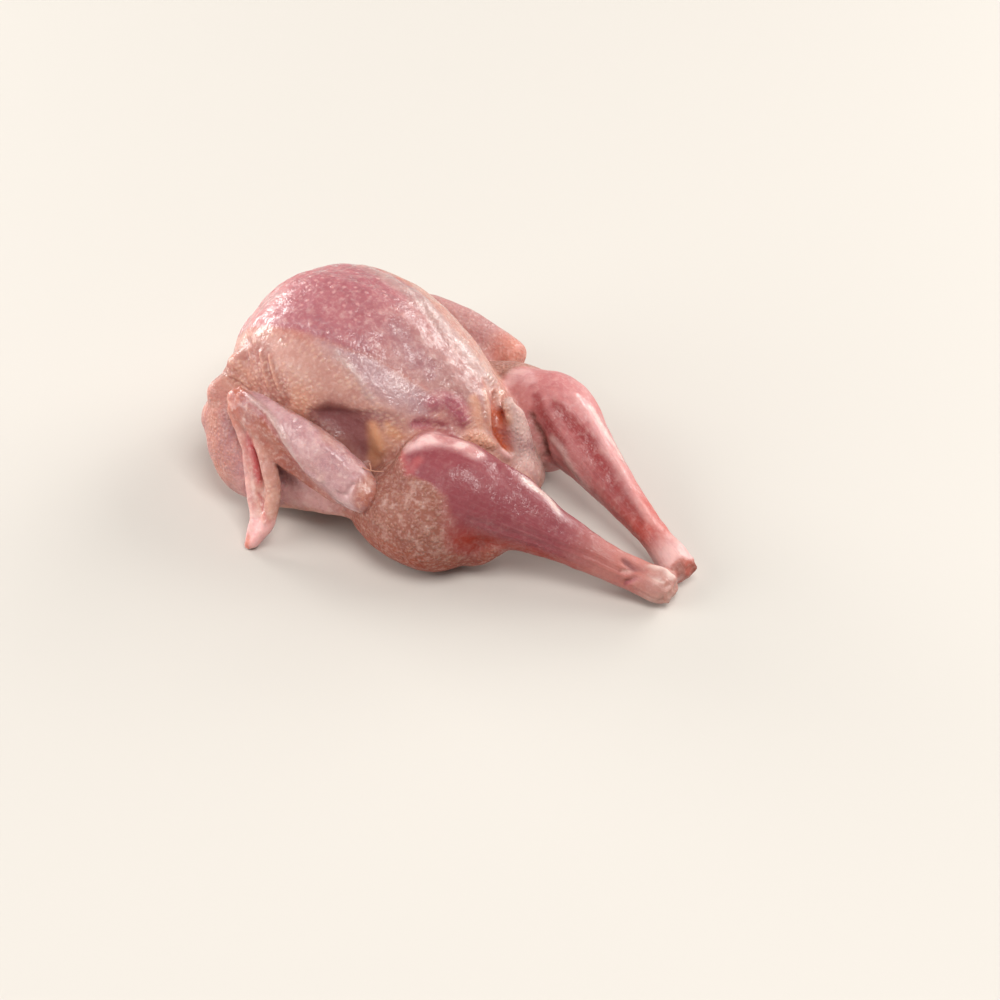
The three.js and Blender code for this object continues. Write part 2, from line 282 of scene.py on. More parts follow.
def limb_surface(rows, domes, steps=70, count=56):
    """A limb: rounded-corner ellipses carried square to the spine, closed by a dome at each end.
    Sideways a ring goes half-width times cosine, upward half-height times sine, both to the power
    of two over the corner power with the sign kept."""
    t, push, scale = dome_parts(*domes, steps)
    middle, tangent, side, up, half, power = spine(rows, t)
    middle = middle + tangent * push[:, None]
    angle = np.linspace(0, 2 * np.pi, count, endpoint=False)
    c = power_of(np.cos(angle)[None, :], 2 / power) * scale[:, None] * half[:, :1]
    s = power_of(np.sin(angle)[None, :], 2 / power) * scale[:, None] * half[:, 1:]
    rings = middle[:, None] + side[:, None] * c[..., None] + up[:, None] * s[..., None]
    return closed_loft(rings)


def trunk_surface(steps=90, count=120):
    """The trunk: upright rounded-corner ellipses like a limb's, with one power above and one below
    the widest height, closed by domes. The keel adds its rise times a bell curve of the sideways
    distance over the keel's width."""
    t, push, scale = dome_parts(TRUNK_DOME, TRUNK_DOME, steps)
    x, y, half, top, bottom, widest = (column[:, None] for column in along(TRUNK, t).T)
    angle = np.linspace(0, 2 * np.pi, count, endpoint=False)[None, :]
    upper = np.sin(angle) >= 0
    power = np.where(upper, TRUNK_TOP_POWER, TRUNK_BOTTOM_POWER)
    c = power_of(np.cos(angle), 2 / power) * half * scale[:, None]
    s = power_of(np.sin(angle), 2 / power) * np.where(upper, top - widest, widest - bottom)
    keel = np.where(upper, KEEL_RISE * np.exp(-((c / KEEL_WIDTH) ** 2)), 0)
    rings = np.stack([x + push[:, None] + 0 * c, y + c, widest + (s + keel) * scale[:, None]], -1)
    return closed_loft(rings)


# Meshes in and out of numpy.

def mesh_from(name, points, faces, scale=MM):
    """A mesh object from arrays, its place in its mesh."""
    mesh = bpy.data.meshes.new(name)
    mesh.from_pydata((points * scale).tolist(), [], faces.tolist())
    mesh.validate()
    obj = bpy.data.objects.new(name, mesh)
    bpy.context.scene.collection.objects.link(obj)
    return obj


def arrays_of(mesh):
    """Vertices, edges and quads of a mesh as arrays."""
    points = np.empty(len(mesh.vertices) * 3)
    mesh.vertices.foreach_get("co", points)
    edges = np.empty(len(mesh.edges) * 2, int)
    mesh.edges.foreach_get("vertices", edges)
    loops = np.empty(len(mesh.loops), int)
    mesh.loops.foreach_get("vertex_index", loops)
    return points.reshape(-1, 3), edges.reshape(-1, 2), loops.reshape(-1, 4)


def joined(surfaces):
    """The points and the faces of several surfaces as one set."""
    points, faces, start = [], [], 0
    for p, f in surfaces:
        points.append(p)
        faces.append(f + start)
        start += len(p)
    return np.concatenate(points), np.concatenate(faces)


def fused(surfaces, voxel):
    """Joins closed surfaces that overlap into one skin of small even quads (a voxel remesh)."""
    obj = mesh_from("loose_forms", *joined(surfaces), scale=1)
    remesh = obj.modifiers.new("fuse", "REMESH")
    remesh.mode = "VOXEL"
    remesh.voxel_size = voxel
    remesh.use_smooth_shade = True
    made = bpy.data.meshes.new_from_object(obj.evaluated_get(bpy.context.evaluated_depsgraph_get()))
    out = arrays_of(made)
    bpy.data.objects.remove(obj)
    bpy.data.meshes.remove(made)
    return out


def normals_of(points, quads):
    """Vertex normals: the area-weighted mean of the faces around each vertex."""
    p = points[quads]
    face = np.cross(p[:, 2] - p[:, 0], p[:, 3] - p[:, 1])
    out = np.zeros_like(points)
    for axis in range(3):
        out[:, axis] = np.bincount(quads.ravel(), np.repeat(face[:, axis], 4), len(points))
    return unit(out)


def neighbour_mean(values, edges, count):
    """The mean of each vertex's neighbours along the edges."""
    both = np.concatenate([edges, edges[:, ::-1]])
    degree = np.maximum(np.bincount(both[:, 0], minlength=count), 1)
    values = values.reshape(count, -1)
    mean = [np.bincount(both[:, 0], column[both[:, 1]], count) / degree for column in values.T]
    return np.stack(mean, -1)


def relaxed(points, edges, quads, rounds, inward):
    """Moves vertices half-way to their neighbours' mean; moves into the body are scaled by inward,
    so creases between forms fill up to soft fillets and the outer shapes keep their size."""
    for _ in range(rounds):
        move = 0.5 * (neighbour_mean(points, edges, len(points)) - points)
        normal = normals_of(points, quads)
        out = (move * normal).sum(1, keepdims=True)
        points = points + move - normal * out * np.where(out < 0, 1 - inward, 0)
    return points


# Fields over the skin.

def ease(low, high, x):
    """0 below low, 1 above high, smooth between."""
    f = np.clip((x - low) / (high - low), 0, 1)
    return f * f * (3 - 2 * f)


# Large odd numbers that mix a cell's place and seed, kept to 31 bits, and the bits that are used.
CELL_FACTORS = (73856093, 19349663, 83492791)
SEED_FACTOR = 2654435761
MIX_FACTOR = 1274126177
KEEP_BITS = 0x7FFFFFFF
USED_BITS = 0xFFFF
# Cells are moved so far that none is negative.
CELL_SHIFT = 1000


def scatter(cells, seed):
    """A random number from 0 to 1 for each whole-numbered cell, the same on every run."""
    a, b, c = CELL_FACTORS
    n = (cells[..., 0] * a) ^ (cells[..., 1] * b) ^ (cells[..., 2] * c)
    n = (n ^ (seed * SEED_FACTOR)) & KEEP_BITS
    n = ((n ^ (n >> 13)) * MIX_FACTOR) & KEEP_BITS
    return ((n ^ (n >> 16)) & USED_BITS) / USED_BITS


def noise(points, size, seed):
    """Value noise from -1 to 1: random corner values of cells of that size, blended smoothly."""
    place = points / size + CELL_SHIFT
    base = np.floor(place).astype(np.int64)
    f = place - base
    f = f * f * (3 - 2 * f)
    total = 0
    for corner in range(8):
        step = np.array([corner & 1, corner >> 1 & 1, corner >> 2 & 1])
        weight = np.prod(np.where(step, f, 1 - f), axis=1)
        total = total + weight * scatter(base + step, seed)
    return total * 2 - 1


def from_line(points, line):
    """Distance of each point to a line through the given places, how far along it is (0-1), and
    the way from the line to the point."""
    line = np.asarray(line, float)
    best = np.full(len(points), np.inf)
    where = np.zeros(len(points))
    away = np.zeros_like(points)
    pieces = len(line) - 1
    for i, (a, b) in enumerate(zip(line[:-1], line[1:])):
        f = np.clip(((points - a) @ (b - a)) / max((b - a) @ (b - a), TINY), 0, 1)
        gap = points - a - f[:, None] * (b - a)
        d = np.linalg.norm(gap, axis=1)
        nearer = d < best
        where = np.where(nearer, (i + f) / pieces, where)
        away = np.where(nearer[:, None], gap, away)
        best = np.minimum(best, d)
    return best, where, away


def smooth_line(line, steps=24):
    """More places along a line, by the same cubic as the tables."""
    return along(line, np.linspace(0, 1, steps)) if len(line) > 2 else np.asarray(line, float)


def on_limb(points, name):
    """Where points are on a limb: t along it, sideways and upward parts of its half sizes, and
    the distance from its surface in millimetres."""
    t = np.linspace(0, 1, LIMB_PLACES)
    middle, tangent, side, up, half, _ = spine(LIMBS[name], t)
    nearest = np.empty(len(points), int)
    for start in range(0, len(points), POINTS_AT_A_TIME):
        part = slice(start, start + POINTS_AT_A_TIME)
        gap = points[part, None] - middle[None]
        nearest[part] = (gap**2).sum(2).argmin(1)
    away = points - middle[nearest]
    a = (away * side[nearest]).sum(1) / half[nearest, 0]
    u = (away * up[nearest]).sum(1) / half[nearest, 1]
    past = np.maximum(np.abs((away * tangent[nearest]).sum(1)) - END_SLACK, 0)
    ratio = np.sqrt(a**2 + u**2)
    return t[nearest], a, u, (ratio - 1) * half[nearest].mean(1) + past


def on_trunk(points):
    """Turn from the keel (0) over the side (90) to the back (180), and distance from the trunk."""
    table = along(TRUNK, np.linspace(0, 1, TRUNK_PLACES))
    x, y, half, top, bottom, widest = (
        np.interp(points[:, 0], table[:, 0], column) for column in table.T
    )
    c = (points[:, 1] - y) / half
    above = points[:, 2] - widest
    s = above / np.where(above > 0, top - widest, widest - bottom)
    turn = np.degrees(np.arctan2(np.abs(c), s))
    past = np.maximum(table[0, 0] - points[:, 0], 0) + np.maximum(points[:, 0] - table[-1, 0], 0)
    return turn, (np.sqrt(c**2 + s**2) - 1) * half * TRUNK_GAP + past


# Lines over the skin, as places in the drawing frame.
LINES = {
    "muscle_border": [
        [-55, -16.7, 41.8], [-47.5, -15.6, 45.5], [-38.9, -15.5, 45.7], [-32.3, -14.9, 44.5],
        [-25.8, -12.3, 43.1], [-20, -10.8, 40.3], [-13.8, -9.8, 36.1], [-10.5, -8.8, 33.5],
    ],
    "fascia": [
        [-38.5, -14.6, 46], [-34.3, -14.9, 45.1], [-29.4, -15, 43.4], [-23.7, -15.2, 40.2],
        [-18.8, -14.4, 37.4], [-13.5, -12.3, 34.4],
    ],
    "mauve": [[-25.2, -5.4, 45.4], [-20.2, -5.9, 42.2], [-14.6, -6, 38.4]],
    "keel": [
        [-45.8, 9.4, 46], [-35.5, 8.3, 46.4], [-26.5, 7.8, 43.9], [-18.2, 6.8, 39.5],
        [-11.8, 6.8, 34.5], [-8, 7.4, 30.6],
    ],
    "far_border": [
        [-36.8, 11.1, 45.2], [-30.9, 8.8, 45.2], [-24, 5.5, 43.5], [-17.8, 2.7, 40.7],
        [-12.7, 1.4, 37.5], [-9.4, 2.3, 34.4],
    ],
    "fold_a": [[-61.5, -20.0, 29.6], [-58, -23.0, 30.4], [-54.5, -25.4, 31.2], [-51.5, -27, 31]],
    "fold_b": [[-57.6, -20.2, 38.6], [-54, -22.9, 36.6], [-50.5, -25.4, 34.4], [-47.4, -27.2, 31.6]],
    "fold_c": [[-49.2, -22.6, 40.4], [-46, -24.5, 37.8], [-43.4, -26, 35.2], [-40.4, -27.3, 31.8]],
    "fold_d": [[-53, -21.4, 40.4], [-50, -23.6, 37.9], [-47, -25.8, 35.2], [-43.6, -27.4, 31.6]],
    "shoulder_dip": [[-59.5, -28, 27], [-59.0, -24.4, 28.5], [-57.0, -22.5, 32.0]],
    "flap_edge": [[-33.3, -17.4, 43.2], [-28, -18.2, 40.3], [-24.4, -18.6, 37.6], [-21, -18.7, 34.9]],
    "hollow_top": [
        [-35, -25.4, 32.5], [-31.6, -25, 32.4], [-26.8, -22.8, 33.4], [-21.7, -20, 33.7],
        [-17.0, -17, 33.4], [-12.5, -14.5, 32.4],
    ],
    "hollow": [[-29.6, -24.9, 31.2], [-25.2, -23.9, 29.2], [-22.1, -23.7, 25.8], [-19.7, -23.3, 22.5]],
    "fat": [[-20.3, -21.4, 29.7], [-18.4, -21.9, 25.9], [-18.8, -23.2, 21.7]],
    "fat_upper": [[-17.5, -19.5, 30.5], [-16.3, -19.1, 29.5], [-14.6, -18.6, 28.2]],
    "red_low": [[-12.7, -15.3, 30.9], [-9.7, -13, 29.9], [-7.1, -10.3, 28.8]],
    "dark_patch": [[-11.3, -10.6, 33.4], [-9.6, -7.2, 33.4], [-7.3, -6.6, 31.1], [-5.6, -6.7, 28.9]],
    "vent": [[-5.3, 6, 28.6], [-2.7, 2.6, 27.4], [-0.6, 0.5, 25], [1.4, 0.3, 21.6], [2.9, 0.7, 18.5]],
    "cream_left": [[-6.1, 2.4, 31.1], [-3.7, 0.2, 29], [-1.8, -1.4, 26.2]],
    "cream_right": [[-5.7, 8.9, 27.2], [-1.5, 3.9, 28.4], [0.4, 2.7, 25.9]],
    "cream_side": [[-6.3, -2.1, 31.7], [-4.4, -2.8, 29.2], [-2.9, -3.8, 26.7]],
    "flap_side": [
        [0, 6.2, 29.2], [0.7, 11.6, 20.9], [4.1, 10.8, 17.1], [5.6, 10.8, 12.4], [7.5, 7.3, 11.1],
    ],
    "goose_lump": [[-3.7, -7.4, 25.8], [-1.8, -5.4, 24.2], [0, -3.2, 22.4]],
    "pink_lump": [[1.6, -1.5, 20.2], [2.8, -0.4, 18]],
    "knee_pale": [
        [-9.4, -21, 29.3], [-7.6, -18.6, 30.3], [-5.4, -15.8, 30.1], [-1, -14.9, 30.1],
        [3.7, -14.9, 29.7],
    ],
    "knee_red": [[-10.5, -23, 27.6], [-6.5, -25.8, 27], [-5.5, -24, 28.6]],
    "tendon_low": [
        [9.6, -25.2, 19.8], [19.4, -20.1, 16.6], [27.6, -16.1, 12.9], [36.4, -13, 9.6],
        [42.9, -10.9, 7.8],
    ],
    "tendon_high": [[19.2, -19.7, 18.3], [29.4, -14.8, 14], [38.1, -11.7, 10.8], [44.7, -9.5, 9]],
    "drum_low": [[7.4, -28, 15], [15.5, -22.1, 13], [24.1, -16.8, 9.6], [33.9, -13.3, 7.2]],
    "far_knee": [[-7.2, 10.2, 27.7], [-9, 19, 25.2], [-3.8, 17.7, 25.9]],
    "far_red": [
        [4.2, 15.0, 24.3], [9.5, 14.0, 22.4], [16.0, 12.9, 19.5], [22.3, 10.5, 16.3], [29.3, 7.5, 12.8],
        [35.1, 5.1, 10.4],
    ],
    "far_red_low": [[0.2, 14, 24.2], [6.1, 11.5, 19.6], [11.4, 10, 15.6]],
    "far_membrane": [[7.2, 10.8, 17.6], [14.7, 9.1, 13.3], [19.6, 8.1, 10.3]],
    "far_light": [
        [7.5, 19.6, 25.0], [12.4, 18.2, 22.3], [18.0, 15.8, 19.4], [23.4, 13.0, 16.7],
        [29.5, 9.7, 14.0], [34.2, 7.8, 11.9], [39.2, 5.7, 10.2],
    ],
    "drum_rim": [[10.1, -12.7, 26.2], [15.4, -11.4, 22.9], [21.0, -10.8, 19.8], [25.4, -11.7, 18.2]],
    "far_rim": [[8.7, 20.0, 24.6], [13.7, 19.7, 21.0], [18.7, 18.1, 17.7], [23.7, 15.6, 15.0]],
    "hock_brown": [[51.4, -6.4, 7.1], [51.4, -7.9, 5.3], [50.4, -3.2, 7.3]],
    "hock_lines": [[40.4, -10.9, 10.1], [44.1, -8.6, 9.8], [48.6, -7.2, 8.7]],
    "hock_dark": [[39.8, -9.4, 11.4], [42.1, -8.8, 10.6], [44.7, -7.7, 9.9]],
    "hock_slit": [[41.8, -11.3, 7.5], [43.6, -10.1, 8.8], [45.0, -9.1, 9.2]],
    "hock_edge": [[44.6, -5.9, 9.9], [47.0, -4.7, 9.1], [49.7, -4.6, 8.3]],
    "crest": [
        [-52.1, -29.6, 32.1], [-46.1, -31.6, 32.4], [-41.3, -32.6, 31.5], [-37.3, -33.7, 29.7],
        [-33.9, -34.6, 27.2], [-30.9, -34.9, 24.7], [-28.5, -34.9, 22.3], [-24.6, -34.9, 21.0],
    ],
    "upper_crest": [
        [-51.8, -26.7, 31.1], [-45.6, -28.4, 31.8], [-37.6, -30.6, 31.9], [-33.2, -29.6, 31],
        [-26, -31.8, 28.8], [-21, -31.1, 26.4], [-17.3, -32, 23.2],
    ],
    "elbow_crease": [[-17.3, -32.8, 22.5], [-18.4, -34.5, 19.3], [-20.3, -34.7, 19.6]],
    "hand_gap": [[-46.3, -34, 24.5], [-44.7, -34.9, 20.9], [-42.4, -36.3, 17.6], [-41, -37.1, 15.3]],
    "hand_slit": [[-40.3, -38.8, 12.6], [-38, -40.3, 10.5], [-36.1, -42.1, 9.1]],
    "hand_rim": [
        [-47.4, -34.3, 28.1], [-46.1, -35.1, 21.8], [-43.9, -37.2, 16.9], [-41.0, -39.8, 11.1],
        [-40.3, -41.7, 8.3],
    ],
    "hand_end": [[-39.5, -43.8, 4.2], [-39, -45.4, 1.5]],
    "hand_pale": [[-40.6, -41.4, 7.8], [-39.7, -43.4, 4.6]],
}
DOWN_SIDE = (0, -0.6, -0.8)
TOWARDS_BODY = (0, 0.75, -0.65)
UNDER_CREST = (-0.3, -0.6, -0.75)
FOLDS = ("fold_a", "fold_b", "fold_c", "fold_d")

# Colours of the regions, as linear light. Some also hold painted light and shade, noted where laid.
TINTS = {
    "skin_pink": (0.48, 0.195, 0.15), "tan": (0.52, 0.265, 0.215), "tan_low": (0.58, 0.27, 0.18),
    "breast_dark": (0.41, 0.14, 0.158), "breast_top": (0.50, 0.19, 0.195),
    "breast_pale": (0.42, 0.215, 0.195), "keel": (0.47, 0.31, 0.285), "fascia": (0.44, 0.265, 0.28),
    "mauve": (0.37, 0.17, 0.18), "fold_gap": (0.34, 0.115, 0.09), "hollow": (0.235, 0.078, 0.082),
    "fat": (0.62, 0.30, 0.16), "red_low": (0.36, 0.095, 0.12), "vent": (0.54, 0.10, 0.03),
    "cream": (0.60, 0.30, 0.21), "flap": (0.60, 0.40, 0.365), "groove": (0.20, 0.07, 0.05),
    "goose": (0.29, 0.10, 0.07), "goose_low": (0.30, 0.036, 0.005), "drum": (0.27, 0.056, 0.068),
    "drum_red": (0.30, 0.020, 0.005), "knee_pale": (0.84, 0.54, 0.52), "knee_red": (0.50, 0.11, 0.11),
    "shank": (0.48, 0.17, 0.14), "hock": (0.50, 0.25, 0.21), "hock_pale": (0.50, 0.245, 0.20),
    "hock_brown": (0.30, 0.13, 0.07), "far_drum": (0.56, 0.21, 0.205), "far_red": (0.30, 0.028, 0.03),
    "far_shank": (0.50, 0.095, 0.075), "far_end": (0.36, 0.06, 0.03), "far_elbow": (0.58, 0.22, 0.165),
    "far_wing": (0.48, 0.24, 0.23), "arm": (0.56, 0.32, 0.325), "arm_upper": (0.50, 0.25, 0.22),
    "ridge": (0.34, 0.08, 0.045), "wrist": (0.46, 0.135, 0.085), "elbow": (0.45, 0.16, 0.11),
    "membrane": (0.60, 0.31, 0.30), "hand": (0.56, 0.28, 0.22), "hand_red": (0.50, 0.085, 0.085),
    # The last tint on the next line is pale skin brightened into a painted highlight.
    "hand_tip": (0.80, 0.42, 0.40), "bruise": (0.38, 0.17, 0.18), "glaze": (0.88, 0.72, 0.64),
}
TINTS = {name: np.array(tint) for name, tint in TINTS.items()}

# How quickly a point stops belonging to a form as it gets further from it, in millimetres.
MIX_REACH = 0.9
# Rounds of relaxing that fill the creases, how much of the filling also sinks the outer shapes, and
# the rounds that even out the mesh.
BODY_ROUNDS = 14
WING_ROUNDS = 12
FILL_SINKS = 0.1
EVEN_ROUNDS = 2
# Slow and fine wander of the edges: size of its waves and how far it shifts, in millimetres.
WANDER_SIZE = 5.0
WANDER_SEEDS = (1, 2, 3)
FINE_SIZE = 1.7
FINE_SEEDS = (4, 5, 6)
CALM_SHIFT = 0.3
RAGGED_SHIFT = 0.7
FINE_SHIFT = 0.35
# A stroke is full over this part of its width, and is never thinner than this.
STROKE_CORE = 0.15
THINNEST = 0.05
# A shelf starts and ends over these parts of its line, rises between these distances past it in
# millimetres, and is full over this part of its reach.
SHELF_START = (0, 0.12)
SHELF_END = (1, 0.6)
SHELF_RISE = (-0.3, 1.1)
SHELF_FULL = 0.35
# Weights that the material reads, four to an attribute.
FINISHES = ["dots", "goose", "fibre", "wet", "stipple", "veins", "mottle", "glints"]


def put_attribute(mesh, name, values):
    """Stores numbers per vertex as a colour attribute with four parts."""
    values = np.asarray(values, float)
    if values.shape[1] == 3:
        values = np.concatenate([values, np.ones((len(values), 1))], 1)
    mesh.color_attributes.new(name, "FLOAT_COLOR", "POINT").data.foreach_set("color", values.ravel())


def quail_piece(name, points, faces, tint, finish):
    """A smooth piece that stands in for the quail: its mesh, tint and eight finish weights."""
    piece = mesh_from(name, points + PLACE, faces)
    piece.data.shade_smooth()
    put_attribute(piece.data, "tint", tint)
    put_attribute(piece.data, "finish", finish[:, :4])
    put_attribute(piece.data, "detail", finish[:, 4:])
    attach(piece, "root")
    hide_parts("quail")
    return piece


class Skin:
    """One closed stretch of skin: its points, how much each belongs to each form, named fields from
    0 to 1 over it, and the relief (millimetres along the normal), colour and finishes laid on it."""

    def __init__(self, names, voxel, rounds, with_trunk):
        surfaces = [limb_surface(LIMBS[name], DOMES[name]) for name in names]
        if with_trunk:
            surfaces.insert(0, trunk_surface())
        points, self.edges, self.quads = fused(surfaces, voxel)
        points = relaxed(points, self.edges, self.quads, rounds, FILL_SINKS)
        self.points = relaxed(points, self.edges, self.quads, EVEN_ROUNDS, 1.0)
        self.where = {name: on_limb(self.points, name) for name in names}
        gaps = {name: found[-1] for name, found in self.where.items()}
        if with_trunk:
            self.turn, gaps["trunk"] = on_trunk(self.points)
        nearest = np.min(list(gaps.values()), axis=0)
        shares = {name: np.exp(-(gap - nearest) / MIX_REACH) for name, gap in gaps.items()}
        total = np.sum(list(shares.values()), axis=0)
        self.shares = {name: part / total for name, part in shares.items()}
        wander = np.stack([noise(self.points, WANDER_SIZE, seed) for seed in WANDER_SEEDS], -1)
        fine = np.stack([noise(self.points, FINE_SIZE, seed) for seed in FINE_SEEDS], -1)
        self.calm = self.points + CALM_SHIFT * wander
        self.ragged = self.points + RAGGED_SHIFT * wander + FINE_SHIFT * fine
        self.fields = {}
        self.relief = np.zeros(len(self.points))
        self.colour = np.tile(TINTS["skin_pink"], (len(self.points), 1))
        self.finish = {name: np.zeros(len(self.points)) for name in FINISHES}

    def share(self, *names):
        """How much each point belongs to any of these forms, 0 to 1."""
        return np.clip(np.sum([self.shares[name] for name in names], axis=0), 0, 1)

    def stroke(self, points, name, width, taper):
        """1 on a line, 0 past its width, soft between; taper narrows it towards both ends."""
        distance, where, _ = from_line(points, smooth_line(LINES[name]))
        reach = width * (1 - taper * np.abs(2 * where - 1) ** 2)
        return 1 - ease(STROKE_CORE, 1, distance / np.maximum(reach, THINNEST))

    def shelf(self, points, name, towards, reach):
        """1 just past a line on the side that faces towards, fading to 0 over the reach."""
        distance, where, away = from_line(points, smooth_line(LINES[name]))
        past = away @ unit(np.array(towards, float))
        ends = ease(*SHELF_START, where) * ease(*SHELF_END, where)
        return ease(*SHELF_RISE, past) * (1 - ease(SHELF_FULL * reach, reach, distance)) * ends

    def weight(self, points, where, stroke):
        """The product of the fields named in where and, if there is one, of a stroke."""
        product = np.ones(len(self.points))
        for name in where.split():
            product = product * self.fields[name]
        return product * self.stroke(points, *stroke) if stroke else product

    def press(self, rows, uneven):
        """Raises the skin, or sinks it where the height is negative, by rows of height, fields and
        stroke, then by rows of height, size and seed that make it uneven everywhere."""
        for height, where, *stroke in rows:
            self.relief += height * self.weight(self.calm, where, stroke)
        for height, size, seed in uneven:
            self.relief += height * noise(self.points, size, seed)

    def lay(self, rows, points):
        """Mixes tints in, one over another, by rows of tint, strength, fields and stroke."""
        for tint, strength, where, *stroke in rows:
            mixed_in = np.clip(strength * self.weight(points, where, stroke), 0, 1)
            self.colour += (TINTS[tint] - self.colour) * mixed_in[:, None]

    def give(self, rows):
        """Adds to the finishes, by rows of finish, amount, fields and stroke."""
        for name, amount, where, *stroke in rows:
            self.finish[name] += amount * self.weight(self.ragged, where, stroke)

    def piece(self, name, grain):
        """The piece: points pushed out along their normals by the relief, evened once and kept above
        the floor. Grain is each point's place for the muscle fibres."""
        points = self.points + normals_of(self.points, self.quads) * self.relief[:, None]
        points = relaxed(points, self.edges, self.quads, 1, 1.0)
        points[:, 2] = np.maximum(points[:, 2], -PLACE[2])
        finish = np.stack([np.clip(self.finish[key], 0, 1) for key in FINISHES], -1)
        made = quail_piece(name, points, self.quads, self.colour, finish)
        made.data.attributes.new("grain", "FLOAT_VECTOR", "POINT").data.foreach_set("vector", grain.ravel())
        return made


# The trunk, the legs and the far wing.

# The bare drumstick starts where the thigh's skin ends: a line that climbs towards the knee, with
# wander of this height, size and seed.
BARE_AT_Z = np.array([0, 9.8, 13.9, 19.9, 23.9, 26.0, 27.0, 27.8, 33.0])
BARE_FROM_X = np.array([10.5, 9, 7.5, 6.0, 3.5, 0.5, -5.0, -10.5, -14.0])
BARE_WANDER = [(0.5, 2.0, 9), (1.0, 5.0, 10)]
# The breast muscle lies between two borders, so many degrees from the keel at each x.
MUSCLE_X = np.array([-66.0, -53.0, -43.0, -32.0, -25.0, -10.0, -5.0])
MUSCLE_TURN = np.array([40.0, 34.0, 32.0, 31.0, 27.0, 22.0, 10.0])
# The edge of the far leg's bone end wanders by this part of the leg. Size of the noise in
# millimetres, and its seed, for that wander and for the frayed end of the near leg.
FAR_END_WANDER = 0.07
FAR_END_NOISE = (2.2, 34)
FRAYED_NOISE = (1.3, 31)
# How far the shelves reach from the muscle's border and from the top of the hollow.
BORDER_REACH = 9
HOLLOW_REACH = 10

# Fields that are shares of forms.
BODY_SHARES = {
    "body": ["trunk"],
    "near_leg": ["near_thigh", "near_drum", "near_thigh_flap"],
    "near_flap": ["near_thigh_flap"],
    "near_limb": ["near_drum", "near_thigh"],
    "far_leg": ["far_thigh", "far_drum"],
    "arm_root": ["near_web", "near_upper_arm"],
    "far_wing": ["far_forearm", "far_upper_arm", "far_hand", "far_web"],
    "far_arm": ["far_forearm", "far_upper_arm"],
    "tail": ["tail"],
    "tail_flap": ["tail_flap"],
    "rough_skin": ["far_forearm", "near_upper_arm", "tail_flap"],
    "thin_skin": ["near_web", "near_upper_arm", "tail_flap"],
}
# Fields that fade: the measure they follow, where they are 0 and where they are 1. The measures are
# x, y and z in millimetres, degrees from the keel or past the muscle's border, millimetres past
# the skin's edge on the thigh, and parts of a leg's length or height.
FADES = {
    "near": ("y", 0, -4),
    "muscle_side": ("past", 1.6, -1.6),
    "flank_side": ("past", 1, 6),
    "past_border": ("past", -0.5, 2.5),
    "upper_side": ("turn", 100, 70),
    "side_from": ("turn", 50, 62),
    "side_to": ("turn", 105, 80),
    "stipple_side": ("turn", 100, 75),
    "behind_neck": ("x", -60, -54),
    "neck_end": ("x", -46, -56),
    "breast_front": ("x", -50, -58),
    "toward_vent": ("x", -36, -14),
    "web_rear": ("x", -54, -46),
    "web_middle": ("x", -50, -40),
    "web_low": ("z", 10, 6),
    "elbow_end": ("x", -26, -20),
    "far_elbow_end": ("x", -30, -22),
    "fascia_rear": ("x", -28, -20),
    "tail_rear": ("x", -3, 1),
    "thigh_low": ("z", 16, 6),
    "near_edge": ("bare_edge", -2.0, 1.8),
    "far_edge": ("bare_edge", -15.0, -11.2),
    "drum_under": ("drum_height", 0.15, -0.45),
    "above_hock": ("drum_part", 0.75, 0.5),
    "calf": ("drum_part", 0.52, 0.3),
    "drum_fibres": ("drum_part", 0.15, 0.45),
    "shank": ("drum_part", 0.42, 0.68),
    "hock": ("drum_part", 0.72, 0.86),
    "hock_mottle": ("drum_part", 0.7, 0.85),
    "hock_wet": ("drum_part", 0.75, 0.9),
    "hock_end": ("drum_part", 0.84, 0.95),
    "far_shank": ("far_part", 0.36, 0.62),
    "far_red_end": ("far_part", 0.4, 0.62),
    "far_hock": ("far_part", 0.66, 0.85),
    "far_hock_pale": ("far_part", 0.64, 0.84),
    "far_tip": ("far_part", 0.95, 1.0),
    "far_end": ("far_end_part", 0.93, 0.99),
    "cut_end": ("true_x", 48.5, 51),
}
# Fields that are blotches: size of the noise, its seed, where they are 0 and where they are 1.
BLOTCHES = {
    "patches": (6.5, 41, -0.1, 0.7),
    "knee_blotches": (2.6, 51, -0.3, 0.4),
    "hock_specks": (1.3, 33, -0.2, 0.3),
    "tip_specks": (2.0, 35, 0.1, -0.5),
    "specks": (1.3, 61, 0.05, 0.5),
}
# Fields that are 0 on a stroke: its line, width and taper.
KEPT_OFF = {"off_fascia": ("fascia", 7, 0.2), "off_hollow": ("hollow", 9, 0.3)}

